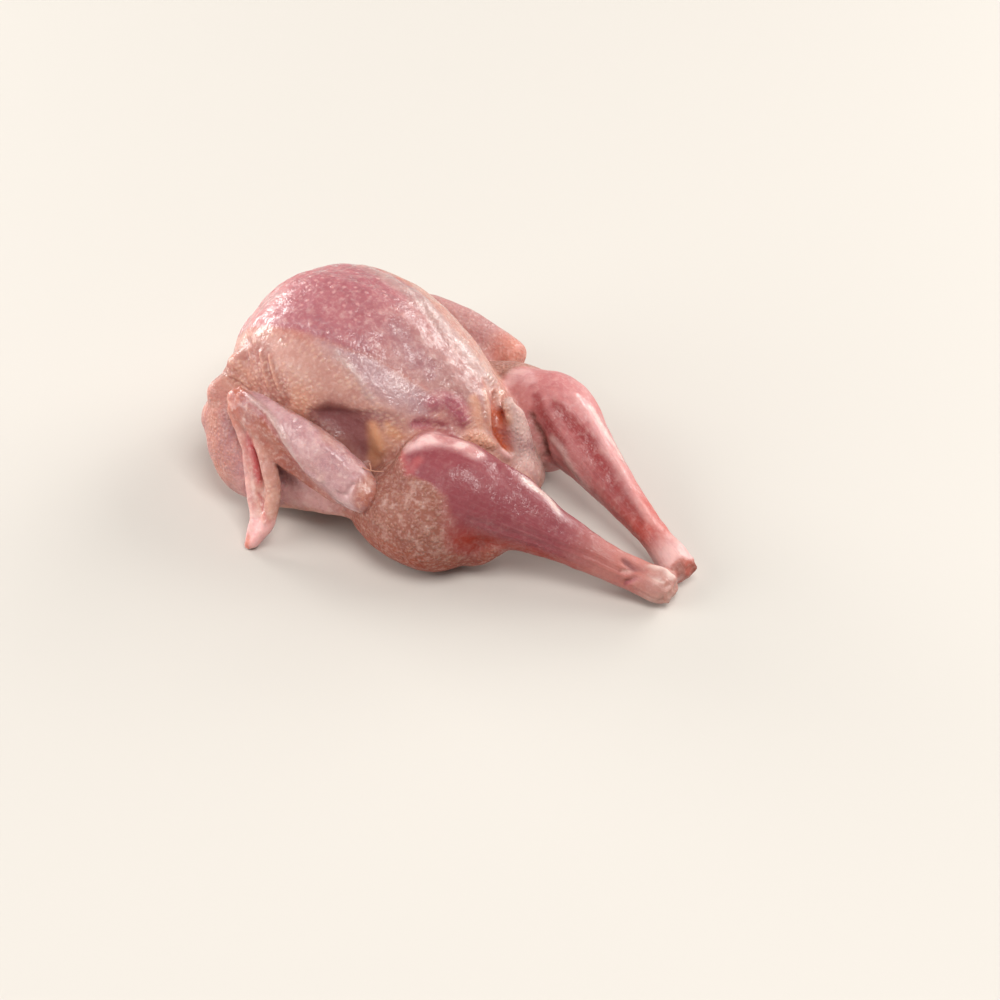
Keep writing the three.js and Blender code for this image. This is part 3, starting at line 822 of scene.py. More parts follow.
# Relief: height, fields, then line, width and taper of a stroke.
BODY_RELIEF = [
    (-0.25, "near border_shelf"),
    (0.35, "", "keel", 3.5, 0.4),
    (-0.3, "", "far_border", 1.6, 0.4),
    (0.4, "", "flap_edge", 1.3, 0.7),
    (-0.6, "hollow_dip"),
    (2.6, "", "shoulder_dip", 6.0, 0.2),
    (-2.0, "", "hollow", 6.5, 0.4),
    (0.5, "", "fat", 2.4, 0.4),
    (0.7, "", "dark_patch", 3.2, 0.4),
    (-0.8, "", "red_low", 1.6, 0.4),
    (0.6, "", "cream_left", 1.3, 0.4),
    (0.7, "", "cream_right", 1.3, 0.4),
    (-2.0, "", "vent", 2.2, 0.7),
    (-1.1, "", "flap_side", 1.8, 0.2),
    (1.0, "", "goose_lump", 2.6, 0.4),
    (0.6, "", "pink_lump", 1.8, 0.4),
    (0.55, "skinned"),
    (0.15, "", "knee_pale", 3.0, 0.4),
    (-0.5, "", "tendon_low", 0.9, 0.4),
    (-0.4, "", "tendon_high", 0.8, 0.4),
    (-0.5, "", "far_red", 3.0, 0.4),
    (1.0, "calf", "drum_rim", 7.0, 0.6),
    (0.35, "", "far_light", 2.2, 0.4),
    (0.4, "", "far_membrane", 1.6, 0.4),
    (-0.8, "", "hock_lines", 0.9, 0.4),
    (-0.9, "", "hock_dark", 1.4, 0.4),
    (-1.0, "", "hock_slit", 0.9, 0.4),
    (0.7, "", "hock_edge", 1.1, 0.4),
    (-0.2, "cut_end"),
    (0.9, "cut_end frayed"),
]
BODY_RELIEF += [(-0.45, "", fold, 2.6, 0.4) for fold in FOLDS]
BODY_RELIEF += [(0.85, "", fold, 0.95, 0.7) for fold in FOLDS]
BODY_UNEVEN = [(0.2, 4.5, 21), (0.1, 2.0, 22)]

# Tints in the order that they are laid: tint, strength, fields, then line, width and taper.
BREAST_TINTS = [
    ("bruise", 0.6, "patches neck_end"),
    ("tan", 1, "flank upper_side"),
    ("tan_low", 1, "flank side_from side_to behind_neck"),
    ("breast_dark", 1, "muscle"),
    ("breast_top", 1, "muscle breast_front"),
    ("breast_pale", 0.9, "muscle toward_vent"),
    ("keel", 0.85, "body", "keel", 5.0, 0.3),
    ("mauve", 0.8, "body", "mauve", 4.5, 0.3),
    ("fascia", 0.9, "body past_border", "fascia", 7.0, 0.2),
]
# The grooves of the shoulder folds get a dark tint: painted shade in the creases.
BREAST_TINTS += [("fold_gap", 0.85, "", fold, 3.6, 0.3) for fold in FOLDS]
# A cream stroke on each fold's crest: painted highlight on the ridge.
FOLD_HIGHLIGHTS = [("cream", 0.55, "", fold, 0.9, 0.6) for fold in FOLDS]
SIDE_TINTS = [
    # A pale stroke along the flap's raised edge: partly painted highlight.
    ("keel", 0.8, "", "flap_edge", 1.5, 0.3),
    ("membrane", 1, "arm_root web_rear"),
    ("tan_low", 0.8, "arm_root web_low web_middle"),
    ("elbow", 0.8, "arm_root elbow_end"),
    # Below the hollow's top: dark purple skin deepened with painted shade of the recess.
    ("hollow", 0.6, "hollow_shelf off_limb"),
    ("hollow", 0.3, "", "hollow", 11, 0.1),
    ("hollow", 0.85, "", "hollow", 8.5, 0.3),
    ("far_wing", 1, "far_wing"),
    ("far_elbow", 1, "far_arm far_elbow_end"),
    ("fat", 0.85, "", "fat", 3.6, 0.3),
    ("fat", 0.8, "", "fat_upper", 2.2, 0.3),
    ("red_low", 1, "body", "red_low", 3.4, 0.3),
    ("red_low", 1, "body", "dark_patch", 4.4, 0.3),
]
NEAR_LEG_TINTS = [
    # The thigh's goose tint is darkened partly as painted shade of the near thigh; tan mixed into the far
    # thigh's skin lightens it back.
    ("goose", 1, "skinned"),
    ("tan", 0.45, "far_skin"),
    # The lower thigh is tinted orange: skin colour with painted warm light reflected from below.
    ("goose_low", 0.9, "skinned thigh_low"),
    ("drum", 1, "near_bare"),
    # The drum's underside and lower band: red muscle with painted warm light reflected from below.
    ("drum_red", 0.95, "near_bare drum_under above_hock"),
    ("drum_red", 0.6, "near_bare", "drum_low", 2.6, 0.3),
    ("shank", 1, "near_bare shank"),
    ("hock", 1, "near_bare hock"),
    ("hock_pale", 0.8, "near_bare hock_end"),
    ("knee_red", 0.7, "near_leg", "knee_red", 2.2, 0.3),
    # The knee's top: pale skin brightened partly as a painted highlight, broken by blotches.
    ("knee_pale", 1, "near_leg knee_cover", "knee_pale", 5.0, 0.3),
    ("knee_red", 0.4, "near_leg between_blotches", "knee_pale", 4.5, 0.3),
    # A pale stroke along the drum's upper rim: a painted highlight over pale skin.
    ("glaze", 0.6, "", "drum_rim", 2.1, 0.95),
    ("hock_brown", 0.8, "hock_specks", "hock_brown", 1.7, 0.3),
]
FAR_LEG_TINTS = [
    ("far_drum", 1, "far_bare"),
    ("far_shank", 1, "far_bare far_shank"),
    # A dark red band on the far leg's inner side: red muscle with painted shade.
    ("far_red", 1, "far_bare far_red_strength", "far_red", 4.4, 0.5),
    # A pale stroke along the far drum's outer rim: a painted highlight over pale skin.
    ("glaze", 0.6, "", "far_rim", 2.1, 0.95),
    # The far leg's lower inner band: the same red muscle with painted shade.
    ("far_red", 0.8, "far_bare", "far_red_low", 2.6, 0.3),
    ("flap", 0.75, "far_bare", "far_membrane", 2.0, 0.3),
    # The far drum's top is made paler: partly painted light on the side that faces up.
    ("knee_pale", 0.38, "far_bare", "far_light", 2.3, 0.3),
    ("knee_pale", 0.6, "far_leg", "far_knee", 3.0, 0.3),
    ("hock", 0.7, "far_bare far_hock"),
    ("knee_pale", 0.7, "far_bare far_hock_pale"),
    ("far_end", 0.9, "far_bare far_end"),
    # Dark specks on the tip of the far leg's cut end: painted shade.
    ("groove", 0.6, "far_bare far_tip tip_specks"),
]
TAIL_TINTS = [
    ("flap", 1, "tail_flap"),
    ("goose", 0.8, "tail"),
    ("flap", 0.75, "tail tail_rear"),
    ("cream", 1, "body", "cream_side", 2.6, 0.3),
    ("cream", 0.9, "", "cream_left", 1.8, 0.3),
    ("cream", 0.9, "", "cream_right", 1.9, 0.3),
    ("tan_low", 0.8, "", "goose_lump", 3.0, 0.3),
    ("knee_pale", 0.6, "", "pink_lump", 1.5, 0.3),
    ("vent", 1, "", "vent", 2.6, 0.7),
    # The crack beside the tail's flap is darkened: painted shade.
    ("groove", 0.9, "", "flap_side", 1.3, 0.2),
]
LAST_TINTS = [
    ("bruise", 0.5, "specks fascia_rear", "fascia", 7, 0.2),
    ("hollow", 0.85, "", "hock_dark", 1.3, 0.3),
    ("red_low", 0.8, "", "hock_slit", 1.0, 0.3),
    # Pale strokes on the hock's tendons and edge: pale tendon partly brightened as a painted highlight.
    ("glaze", 0.6, "", "hock_lines", 0.9, 0.3),
    ("glaze", 0.7, "", "hock_edge", 1.4, 0.3),
]

# Finishes: finish, amount, fields, then line, width and taper.
BODY_FINISHES = [
    ("dots", 1, "muscle"),
    ("dots", -0.6, "muscle toward_vent"),
    ("stipple", 1, "flank stipple_side off_fascia off_hollow"),
    ("goose", 1, "skinned"),
    ("goose", 1, "", "goose_lump", 3, 0.3),
    ("goose", 0.6, "rough_skin"),
    ("fibre", 0.35, "near_bare"),
    ("fibre", 0.65, "near_bare drum_fibres"),
    ("fibre", 1, "far_bare"),
    ("veins", 1, "thin_skin"),
    ("veins", 1, "", "fascia", 7, 0.2),
    ("veins", 0.3, "muscle"),
    ("mottle", 0.6, ""),
    ("mottle", 0.1, "skinned"),
    ("mottle", -0.45, "near_bare"),
    ("mottle", 0.3, "near_bare hock_mottle"),
    ("mottle", -0.15, "far_bare"),
    ("mottle", 0.6, "", "knee_pale", 5, 0.3),
    ("mottle", -0.45, "", "hollow", 9, 0.3),
    ("wet", 0.6, ""),
    ("wet", 0.25, "muscle"),
    ("wet", -0.3, "", "hollow", 7, 0.3),
    ("glints", 1, "", "fascia", 6, 0.2),
    ("glints", 1, "", "cream_left", 3, 0.3),
    ("glints", 1, "", "cream_right", 3, 0.3),
    ("glints", 1, "near_bare hock_wet"),
    ("glints", 1, "", "knee_pale", 5, 0.3),
    ("glints", 2.5, "", "drum_rim", 2.2, 0.3),
    ("glints", 2.5, "", "far_rim", 2.2, 0.3),
]
# Fibres and goose bumps are less wet than smooth skin.
DRY_FIBRE = 0.15
DRY_GOOSE = 0.35
# Blotches cover the knee from this strength up, and the far leg's red thins out by this much.
KNEE_COVER = 0.6
FAR_RED_STRENGTH = 0.95
FAR_RED_FADES = 0.5


def body_measures(s):
    """Places, angles and parts of a limb that the fades of the trunk and legs follow."""
    x, _, z = s.ragged.T
    drum_part, _, drum_height, _ = s.where["near_drum"]
    far_part = s.where["far_drum"][0]
    bare_edge = x - np.interp(z, BARE_AT_Z, BARE_FROM_X)
    for height, size, seed in BARE_WANDER:
        bare_edge = bare_edge + height * noise(s.points, size, seed)
    return {
        "x": x, "y": s.points[:, 1], "z": z, "true_x": s.points[:, 0], "turn": s.turn,
        "past": s.turn - np.interp(x, MUSCLE_X, MUSCLE_TURN), "bare_edge": bare_edge,
        "drum_part": drum_part, "drum_height": drum_height, "far_part": far_part,
        "far_end_part": far_part + FAR_END_WANDER * noise(s.points, *FAR_END_NOISE),
    }


def body_fields(s):
    """The fields of the trunk and legs: shares, fades and blotches, then what follows from them.
    Bare flesh is the leg past the skin's edge, and the rest of the leg is skinned."""
    measures = body_measures(s)
    f = {name: s.share(*forms) for name, forms in BODY_SHARES.items()}
    f.update({name: ease(low, high, measures[key]) for name, (key, low, high) in FADES.items()})
    f.update({
        name: ease(low, high, noise(s.points, size, seed))
        for name, (size, seed, low, high) in BLOTCHES.items()
    })
    f["muscle"] = f["muscle_side"] * f["body"]
    f["flank"] = f["flank_side"] * f["body"]
    f["near_bare"] = f["near_edge"] * f["near_leg"] * (1 - f["near_flap"])
    f["far_bare"] = f["far_edge"] * f["far_leg"]
    f["far_skin"] = f["far_leg"] * (1 - f["far_bare"])
    f["skinned"] = f["near_leg"] * (1 - f["near_bare"]) + f["far_skin"]
    f["off_limb"] = 1 - f["near_limb"]
    f.update({name: 1 - s.stroke(s.ragged, *line) for name, line in KEPT_OFF.items()})
    f["between_blotches"] = 1 - f["knee_blotches"]
    f["knee_cover"] = KNEE_COVER + (1 - KNEE_COVER) * f["knee_blotches"]
    f["far_red_strength"] = FAR_RED_STRENGTH - FAR_RED_FADES * f["far_red_end"]
    f["frayed"] = noise(s.points, *FRAYED_NOISE)
    f["border_shelf"] = s.shelf(s.calm, "muscle_border", DOWN_SIDE, BORDER_REACH)
    f["hollow_dip"] = s.shelf(s.calm, "hollow_top", DOWN_SIDE, HOLLOW_REACH)
    # Where the painted shade of the hollow is laid, below its top.
    f["hollow_shelf"] = s.shelf(s.ragged, "hollow_top", DOWN_SIDE, HOLLOW_REACH)
    return f


def body_skin():
    """The trunk, the legs and the far wing, with relief, tints and finishes."""
    s = Skin(BODY_FORMS, BODY_VOXEL, BODY_ROUNDS, True)
    s.fields = body_fields(s)
    s.press(BODY_RELIEF, BODY_UNEVEN)
    s.lay(BREAST_TINTS, s.ragged)
    s.lay(FOLD_HIGHLIGHTS, s.calm)
    for rows in (SIDE_TINTS, NEAR_LEG_TINTS, FAR_LEG_TINTS, TAIL_TINTS, LAST_TINTS):
        s.lay(rows, s.ragged)
    s.give(BODY_FINISHES)
    s.finish["wet"] -= DRY_FIBRE * s.finish["fibre"] + DRY_GOOSE * s.finish["goose"]
    return s


# Along and around the nearer leg in millimetres, for the muscle fibres, and a step between the legs.
LEG_LENGTH = 62.0
ROUND_LENGTH = 6.0
LEG_STEP = 50.0


def leg_grain(s):
    """Each point's way along and around its leg: the part of the leg's length and the angle round
    its spine, both in millimetres."""
    on_near = s.fields["near_bare"] > s.fields["far_bare"]
    near, far = s.where["near_drum"], s.where["far_drum"]
    along_leg = np.where(on_near, near[0], far[0]) * LEG_LENGTH
    around = np.where(on_near, np.arctan2(near[2], near[1]), np.arctan2(far[2], far[1])) * ROUND_LENGTH
    return np.stack([along_leg, around, np.where(on_near, 0.0, LEG_STEP)], -1)


# The near forearm and hand.

WING_SHARES = {
    "arm": ["near_forearm"],
    "ridge": ["near_forearm_ridge"],
    "hand": ["near_hand", "near_hand_front", "near_hand_back"],
    "hand_middle": ["near_hand"],
    "hand_front": ["near_hand_front"],
    "hand_back": ["near_hand_back"],
}
WING_RELIEF = [
    (0.7, "", "crest", 1.2, 0.6),
    (0.3, "", "upper_crest", 1.6, 0.4),
    (-0.5, "", "elbow_crease", 0.9, 0.4),
    (0.5, "", "hand_gap", 1.6, 0.5),
    (-0.5, "", "hand_slit", 0.8, 0.5),
]
WING_UNEVEN = [(0.14, 3.2, 21), (0.09, 1.4, 22)]
WING_TINTS = [
    ("arm", 1, "arm"),
    ("arm_upper", 1, "arm upper"),
    ("ridge", 1, "ridge"),
    # Under the crest: tan-red skin darkened with painted shade of the underside, and a dark red line of
    # painted shade in the slit below the crest.
    ("ridge", 1, "crest_shelf off_hand"),
    ("red_low", 0.55, "crest_slit off_hand"),
    # A pale stroke along the forearm's crest: painted highlight where the top turns down.
    ("keel", 0.8, "", "crest", 1.3, 0.3),
    ("hand", 1, "hand"),
    ("hand_tip", 0.7, "hand_front"),
    ("wrist", 1, "wrist"),
    ("elbow", 1, "elbow"),
    # A pale stroke along the hand's front rim: pale skin partly brightened as a painted highlight.
    ("glaze", 0.4, "", "hand_rim", 0.9, 0.3),
    ("hand_red", 1, "hand_middle", "hand_gap", 4.0, 0.4),
    ("hand_red", 1, "", "hand_gap", 2.3, 0.5),
    ("hand_red", 0.6, "", "hand_slit", 1.2, 0.5),
    ("hand_tip", 1, "hand hand_low"),
    ("vent", 0.8, "", "hand_end", 1.8, 0.3),
]
WING_FINISHES = [
    ("veins", 1, "arm"),
    ("veins", 0.3, "hand"),
    ("stipple", 0.7, "hand_back"),
    ("stipple", 0.4, "upper"),
    ("mottle", 0.8, ""),
    ("wet", 0.85, ""),
    ("glints", 1, "arm lower"),
    ("glints", 2, "", "elbow_crease", 2.2, 0.3),
    ("glints", 1, "", "hand_pale", 2.5, 0.3),
]
# Where the wrist and elbow tints fade in along x, and the hand's tip along z, in millimetres.
WRIST_X = (-47, -51)
ELBOW_X = (-17.5, -15)
HAND_LOW_Z = (9.5, 7.5)
# How much of the wrist's tint the arm's upper side and the hand take away.
WRIST_OFF_UPPER = 0.6
WRIST_OFF_HAND = 0.5
# How far the shelves reach from the upper crest, from the crest, and in the slit under it.
UPPER_REACH = 9
CREST_REACH = 8
SLIT_REACH = 2.6


def wing_fields(s):
    """The fields of the forearm and hand: shares, shelves beside the crests and fades."""
    x, _, z = s.ragged.T
    f = {name: s.share(*forms) for name, forms in WING_SHARES.items()}
    f["upper"] = s.shelf(s.ragged, "upper_crest", TOWARDS_BODY, UPPER_REACH)
    f["lower"] = 1 - f["upper"]
    f["off_hand"] = 1 - f["hand"]
    # Shelves under the crest, where painted shade is laid.
    f["crest_shelf"] = s.shelf(s.ragged, "crest", UNDER_CREST, CREST_REACH)
    f["crest_slit"] = s.shelf(s.points, "crest", UNDER_CREST, SLIT_REACH)
    f["wrist"] = ease(*WRIST_X, x) * (1 - WRIST_OFF_UPPER * f["upper"]) * (1 - WRIST_OFF_HAND * f["hand"])
    f["elbow"] = ease(*ELBOW_X, x)
    f["hand_low"] = ease(*HAND_LOW_Z, z)
    return f


def wing_skin():
    """The near forearm and hand, with relief, tints and finishes."""
    s = Skin(WING_FORMS, WING_VOXEL, WING_ROUNDS, False)
    s.fields = wing_fields(s)
    s.press(WING_RELIEF, WING_UNEVEN)
    s.lay(WING_TINTS, s.ragged)
    s.give(WING_FINISHES)
    return s


# Fine feather stubs left by the elbow: x, y, z of the middle, half-widths, corner power.
STUBS = [
    [
        [-17.6, -28.6, 24.3, 0.13, 0.13, 2],
        [-16.6, -27.9, 23.6, 0.12, 0.12, 2],
        [-15.4, -27.0, 23.2, 0.1, 0.1, 2],
        [-13.8, -25.9, 23.1, 0.07, 0.07, 2],
    ],
    [
        [-17.0, -26.9, 24.6, 0.12, 0.12, 2],
        [-16.5, -27.2, 23.9, 0.12, 0.12, 2],
        [-16.2, -27.6, 23.2, 0.1, 0.1, 2],
    ],
]
STUB_DOMES = (0.1, 0.1)
STUB_STEPS = 16
STUB_COUNT = 8


def feather_stubs():
    """Thin pale tubes that taper, on the same cubic spines as the limbs."""
    points, faces = joined([limb_surface(rows, STUB_DOMES, STUB_STEPS, STUB_COUNT) for rows in STUBS])
    pale = np.tile(TINTS["cream"], (len(points), 1))
    return quail_piece("feather_stubs", points, faces, pale, np.zeros((len(points), len(FINISHES))))


body = body_skin()
wing = wing_skin()
pieces = [
    body.piece("quail_skin", leg_grain(body)),
    wing.piece("near_wing", wing.points),
    feather_stubs(),
]


# Numbers of the mix node's sockets for colours: factor, first, second, and the result.
COLOUR_MIX_INPUTS = (0, 6, 7)
COLOUR_MIX_OUTPUT = 2


class Sheet:
    """A material's node tree, written one node at a time."""

    def __init__(self, name):
        self.material = bpy.data.materials.new(name)
        self.material.use_nodes = True
        self.tree = self.material.node_tree
        self.shader = self.tree.nodes["Principled BSDF"]

    def node(self, kind, sockets=None, **settings):
        """Makes a node; sockets maps an input to a value or to another node's output."""
        made = self.tree.nodes.new(kind)
        for key, value in settings.items():
            setattr(made, key, value)
        for key, value in (sockets or {}).items():
            self.feed(made.inputs[key], value)
        return made

    def feed(self, socket, value):
        """Links an output to a socket, or sets the socket's own value."""
        if isinstance(value, bpy.types.NodeSocket):
            self.tree.links.new(value, socket)
        else:
            socket.default_value = value

    def maths(self, operation, a, b=0.0):
        """A Math node's output."""
        return self.node("ShaderNodeMath", {0: a, 1: b}, operation=operation).outputs[0]

    def times(self, *values):
        """All values multiplied."""
        product = values[0]
        for value in values[1:]:
            product = self.maths("MULTIPLY", product, value)
        return product

    def total(self, *values):
        """All values added."""
        result = values[0]
        for value in values[1:]:
            result = self.maths("ADD", result, value)
        return result

    def ramp(self, value, low, high, start=0.0, end=1.0):
        """Start below low, end above high, smooth between."""
        made = self.node("ShaderNodeMapRange", {
            "Value": value, "From Min": low, "From Max": high, "To Min": start, "To Max": end,
        })
        made.interpolation_type = "SMOOTHSTEP"
        return made.outputs["Result"]

    def mix(self, factor, a, b, blend="MIX"):
        """A colour between a and b."""
        made = self.node("ShaderNodeMix", data_type="RGBA", blend_type=blend)
        for socket, value in zip(COLOUR_MIX_INPUTS, (factor, a, b)):
            self.feed(made.inputs[socket], value)
        return made.outputs[COLOUR_MIX_OUTPUT]

    def clouds(self, vector, size_mm, detail, roughness):
        """Noise with features of that size."""
        return self.node("ShaderNodeTexNoise", {
            "Vector": vector, "Scale": 1 / (size_mm * MM), "Detail": detail, "Roughness": roughness,
        }).outputs["Fac"]

    def turned(self, vector, turn, scale):
        """Coordinates turned and stretched."""
        return self.node("ShaderNodeMapping", {
            "Vector": vector, "Rotation": turn, "Scale": scale,
        }).outputs["Vector"]

    def spots(self, vector, size_mm, jitter, inner, outer):
        """1 at the middle of cells of that size, 0 towards their edges."""
        distance = self.node("ShaderNodeTexVoronoi", {
            "Vector": vector, "Scale": 1 / (size_mm * MM), "Randomness": jitter,
        }).outputs["Distance"]
        return self.ramp(distance, inner, outer, 1.0, 0.0)

    def bump(self, height, strength):
        """Normals bent by a height."""
        return self.node("ShaderNodeBump", {
            "Height": height, "Strength": strength, "Distance": BUMP_DISTANCE,
        }).outputs["Normal"]


# Noises of the skin's material: size of their features in millimetres, detail and roughness. The
# strands follow the grain, which is in millimetres already, and their size makes up for it.
CLOUDS = {
    "broad": (8.0, 4.0, 0.55),
    "middle": (2.4, 3.0, 0.55),
    "fine": (0.9, 3.0, 0.55),
    "veins": (2.6, 4.0, 0.7),
    "film": (2.8, 3.0, 0.55),
    "ripples": (1.3, 2.0, 0.55),
    "strands": (1 / MM, 4.0, 0.6),
}
# Spots: size of their cells in millimetres, jitter, and where they start and stop fading.
SPOTS = {
    "dots": (2.3, 0.55, 0.08, 0.3),
    "rows": (1.35, 0.45, 0.1, 0.5),
    "bumps": (1.0, 0.8, 0.1, 0.6),
}
# Ramps: where each starts and ends, and what it gives there.
RAMPS = {
    "broadly": (0.35, 0.7, 0.0, 0.5),
    "darker": (0.5, 0.3, 0.0, 0.75),
    "paler": (0.52, 0.72, 0.0, 0.32),
    "finely": (0.45, 0.75, 0.0, 0.35),
    "strands": (0.5, 0.75, 0.0, 1.0),
    "vein_width": (0.01, 0.05, 1.0, 0.0),
    "vein_places": (0.4, 0.6, 0.0, 1.0),
    "film": (0.36, 0.62, 0.0, 1.0),
}
# Colours that the features mix in, as linear light.
SHADES = {
    "broad": (0.84, 0.70, 0.76, 1),
    "darker": (0.76, 0.60, 0.64, 1),
    "paler": (0.80, 0.56, 0.50, 1),
    "fine": (0.80, 0.58, 0.54, 1),
    "dots": (0.80, 0.46, 0.44, 1),
    "rows": (0.74, 0.47, 0.34, 1),
    "bumps": (0.54, 0.29, 0.20, 1),
    "veins": (0.34, 0.17, 0.20, 1),
    "strands": (0.54, 0.22, 0.23, 1),
}
# How strongly each feature mixes its colour in, and how high it stands in the bump height.
SHADE_STRENGTH = {"dots": 0.4, "rows": 0.28, "bumps": 0.24, "veins": 0.45, "strands": 0.3}
BUMP_HEIGHT = {
    "dots": 0.12, "rows": 0.14, "bumps": 0.3, "fine": 0.2, "middle": 0.3, "strands": 0.25, "ripples": 0.4,
}
# Turn in radians and stretch of the follicle dots, of the stippled rows and of the fibres.
LAYOUT = {
    "dots": ((0, 0, 0.5), (1, 1.15, 0.2)),
    "rows": ((0, 0.7, 0), (1, 0.2, 1.3)),
    "strands": ((0, 0, 0), (0.05, 1.3, 1.0)),
}
# Veins run where the noise crosses its middle.
NOISE_MIDDLE = 0.5
# Roughness where the film is missing and where it is full, and the coat that glints add.
DRY_ROUGHNESS = 0.55
WET_ROUGHNESS = 0.32
GLINT_COAT = 0.4
BUMP_DISTANCE = 0.0008
SKIN_BUMP = 0.8
FILM_BUMP = 0.9
SHADER = {
    "Coat Roughness": 0.1,
    "Specular IOR Level": 0.3,
    "Subsurface Weight": 0.2,
    "Subsurface Radius": (1.0, 0.35, 0.25),
    "Subsurface Scale": 0.0015,
}


def wet_skin():
    """Raw skin and muscle: painted tints, mottling, pale follicle dots, stippled rows, goose bumps,
    dark veins, fibres and a wet film that breaks its glints."""
    m = Sheet("wet_skin")
    here = m.node("ShaderNodeTexCoord").outputs["Object"]
    grain_at = m.node("ShaderNodeAttribute", attribute_name="grain").outputs["Vector"]
    tint = m.node("ShaderNodeVertexColor", layer_name="tint").outputs["Color"]
    on = {}
    for layer, names in (("finish", FINISHES[:4]), ("detail", FINISHES[4:])):
        painted = m.node("ShaderNodeVertexColor", layer_name=layer)
        parts = m.node("ShaderNodeSeparateColor", {"Color": painted.outputs["Color"]}).outputs
        on.update(zip(names, (parts["Red"], parts["Green"], parts["Blue"], painted.outputs["Alpha"])))

    broad = m.clouds(here, *CLOUDS["broad"])
    middle = m.clouds(here, *CLOUDS["middle"])
    fine = m.clouds(here, *CLOUDS["fine"])
    dots = m.spots(m.turned(here, *LAYOUT["dots"]), *SPOTS["dots"])
    rows = m.spots(m.turned(here, *LAYOUT["rows"]), *SPOTS["rows"])
    bumps = m.spots(here, *SPOTS["bumps"])
    strands = m.clouds(m.turned(grain_at, *LAYOUT["strands"]), *CLOUDS["strands"])
    ridge = m.maths("ABSOLUTE", m.maths("SUBTRACT", m.clouds(here, *CLOUDS["veins"]), NOISE_MIDDLE))
    vein_width = m.ramp(ridge, *RAMPS["vein_width"])
    vein_places = m.ramp(broad, *RAMPS["vein_places"])

    broadly = m.ramp(broad, *RAMPS["broadly"])
    darker = m.times(m.ramp(middle, *RAMPS["darker"]), on["mottle"])
    paler = m.times(m.ramp(middle, *RAMPS["paler"]), on["mottle"])
    finely = m.times(m.ramp(fine, *RAMPS["finely"]), on["mottle"])
    shade = m.mix(broadly, tint, SHADES["broad"], "MULTIPLY")
    shade = m.mix(darker, shade, SHADES["darker"], "MULTIPLY")
    shade = m.mix(paler, shade, SHADES["paler"])
    shade = m.mix(finely, shade, SHADES["fine"])
    shown = {
        "dots": m.times(dots, on["dots"]),
        "rows": m.times(rows, on["stipple"]),
        "bumps": m.times(bumps, on["goose"]),
        "veins": m.times(vein_width, vein_places, on["veins"]),
        "strands": m.times(m.ramp(strands, *RAMPS["strands"]), on["fibre"]),
    }
    for name, weight in shown.items():
        shade = m.mix(m.times(weight, SHADE_STRENGTH[name]), shade, SHADES[name])
    m.feed(m.shader.inputs["Base Color"], shade)

    film = m.times(m.ramp(m.clouds(here, *CLOUDS["film"]), *RAMPS["film"]), on["wet"])
    coat = m.maths("MINIMUM", m.total(film, m.times(on["glints"], GLINT_COAT)), 1.0)
    m.feed(m.shader.inputs["Roughness"], m.ramp(film, 0.0, 1.0, DRY_ROUGHNESS, WET_ROUGHNESS))
    m.feed(m.shader.inputs["Coat Weight"], coat)
    for name, value in SHADER.items():
        m.shader.inputs[name].default_value = value

    raised = {
        "fine": fine, "middle": middle, "strands": m.times(strands, on["fibre"]),
        "dots": shown["dots"], "rows": shown["rows"], "bumps": shown["bumps"],
    }
    height = m.total(*(m.times(part, BUMP_HEIGHT[name]) for name, part in raised.items()))
    ripples = m.times(m.clouds(here, *CLOUDS["ripples"]), BUMP_HEIGHT["ripples"])
    m.feed(m.shader.inputs["Normal"], m.bump(height, SKIN_BUMP))
    m.feed(m.shader.inputs["Coat Normal"], m.bump(m.total(height, ripples), FILM_BUMP))
    return m.material


skin_material = wet_skin()
for piece in pieces:
    piece.data.materials.append(skin_material)


# Floor, light and camera. Light places and sizes are metres, and their power is watts.

VIEW_TURN = math.radians(35)
VIEW_DOWN = math.radians(40.35)
VIEW_DISTANCE = 646.6
VIEW_TARGET = (9.71, 3.247, -0.8)
FOCAL_LENGTH = 98.82
SENSOR_WIDTH = 36
CLIP_START = 0.01
FLOOR_COLOUR = (0.62, 0.59, 0.55, 1)
FLOOR_ROUGHNESS = 0.6
FLOOR_HALF = 3000.0
LIGHT_TARGET = (0, 0, 0.02)
WARM_WHITE = (1.0, 0.98, 0.95)
WARMER_WHITE = (1.0, 0.97, 0.93)
WORLD_STRENGTH = 0.2
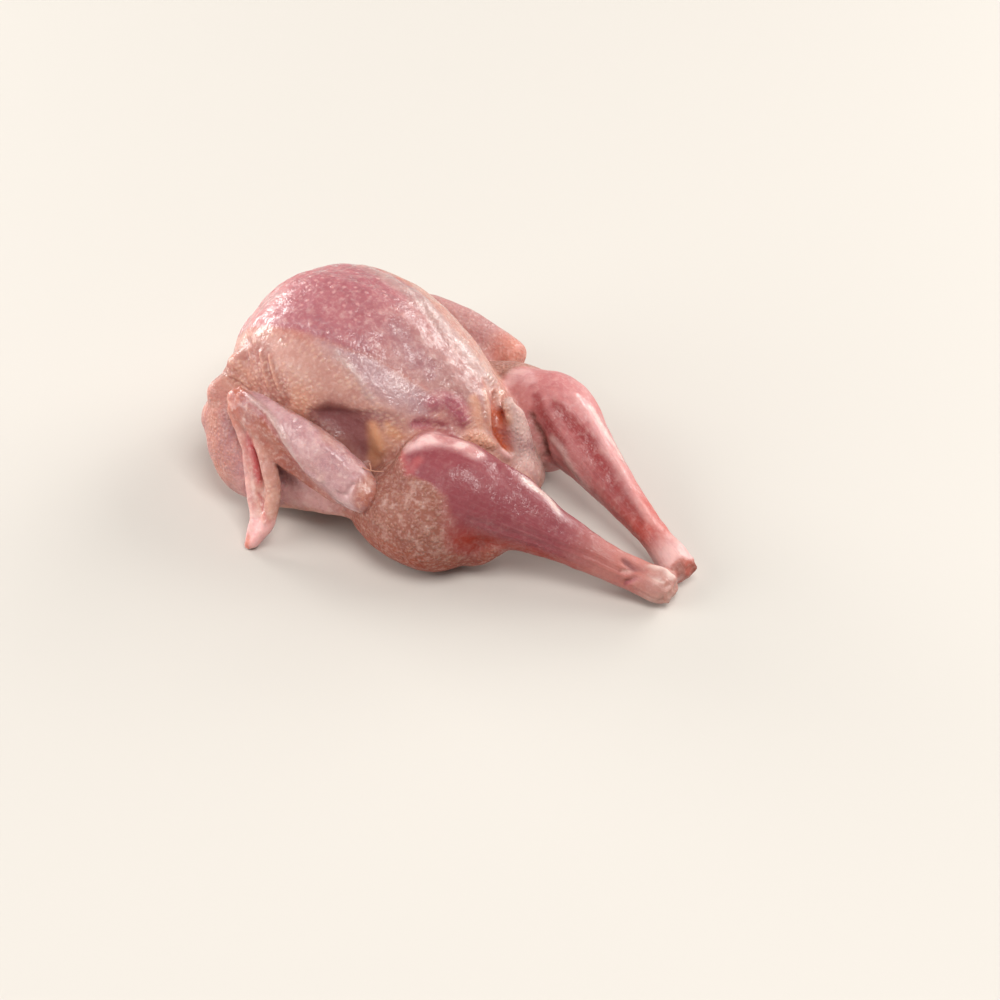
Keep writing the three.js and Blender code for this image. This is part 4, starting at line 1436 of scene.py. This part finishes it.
# Name, place, size, power and colour of each light.
LIGHTS = [
    ("back", (0.55, 0.85, 0.66), 0.8, 9.0, WARMER_WHITE),
    ("rim", (0.10, 1.0, 0.33), 0.45, 4.0, WARM_WHITE),
    ("left", (-0.83, 0.03, 0.19), 0.4, 5.5, WARM_WHITE),
    ("front", (-0.60, -0.70, 0.45), 0.8, 6.5, WARM_WHITE),
    ("top", (0.40, -0.23, 1.0), 0.5, 8.0, WARM_WHITE),
]


def paper_floor():
    """A wide pale sheet under the bird."""
    h = FLOOR_HALF
    corners = np.array([[-h, -h, 0], [h, -h, 0], [h, h, 0], [-h, h, 0]])
    floor = mesh_from("floor", corners, np.array([[0, 1, 2, 3]]))
    sheet = Sheet("pale_floor")
    sheet.shader.inputs["Base Color"].default_value = FLOOR_COLOUR
    sheet.shader.inputs["Roughness"].default_value = FLOOR_ROUGHNESS
    floor.data.materials.append(sheet.material)


def soft_light(name, place, size, power, colour):
    """A square area light that looks at the middle of the bird."""
    data = bpy.data.lights.new(name, "AREA")
    data.size = size
    data.energy = power
    data.color = colour
    light = bpy.data.objects.new(name, data)
    light.location = place
    light.rotation_mode = "QUATERNION"
    light.rotation_quaternion = (Vector(LIGHT_TARGET) - Vector(place)).to_track_quat("-Z", "Y")
    bpy.context.scene.collection.objects.link(light)


def photo_camera():
    """The camera at the photograph's angle, distance and focal length."""
    data = bpy.data.cameras.new("camera")
    data.sensor_width = SENSOR_WIDTH
    data.lens = FOCAL_LENGTH
    data.clip_start = CLIP_START
    camera = bpy.data.objects.new("camera", data)
    back = Vector((
        math.sin(VIEW_TURN) * math.cos(VIEW_DOWN),
        -math.cos(VIEW_TURN) * math.cos(VIEW_DOWN),
        math.sin(VIEW_DOWN),
    ))
    camera.location = (Vector(VIEW_TARGET) + back * VIEW_DISTANCE) * MM
    camera.rotation_mode = "QUATERNION"
    camera.rotation_quaternion = (-back).to_track_quat("-Z", "Y")
    bpy.context.scene.collection.objects.link(camera)
    bpy.context.scene.camera = camera


def studio_world():
    """Faint even light from all sides."""
    world = bpy.data.worlds.new("studio")
    world.use_nodes = True
    background = world.node_tree.nodes["Background"]
    background.inputs["Color"].default_value = (*WARM_WHITE, 1)
    background.inputs["Strength"].default_value = WORLD_STRENGTH
    bpy.context.scene.world = world


paper_floor()
for light in LIGHTS:
    soft_light(*light)
photo_camera()
studio_world()
bpy.context.scene.view_settings.view_transform = "Standard"
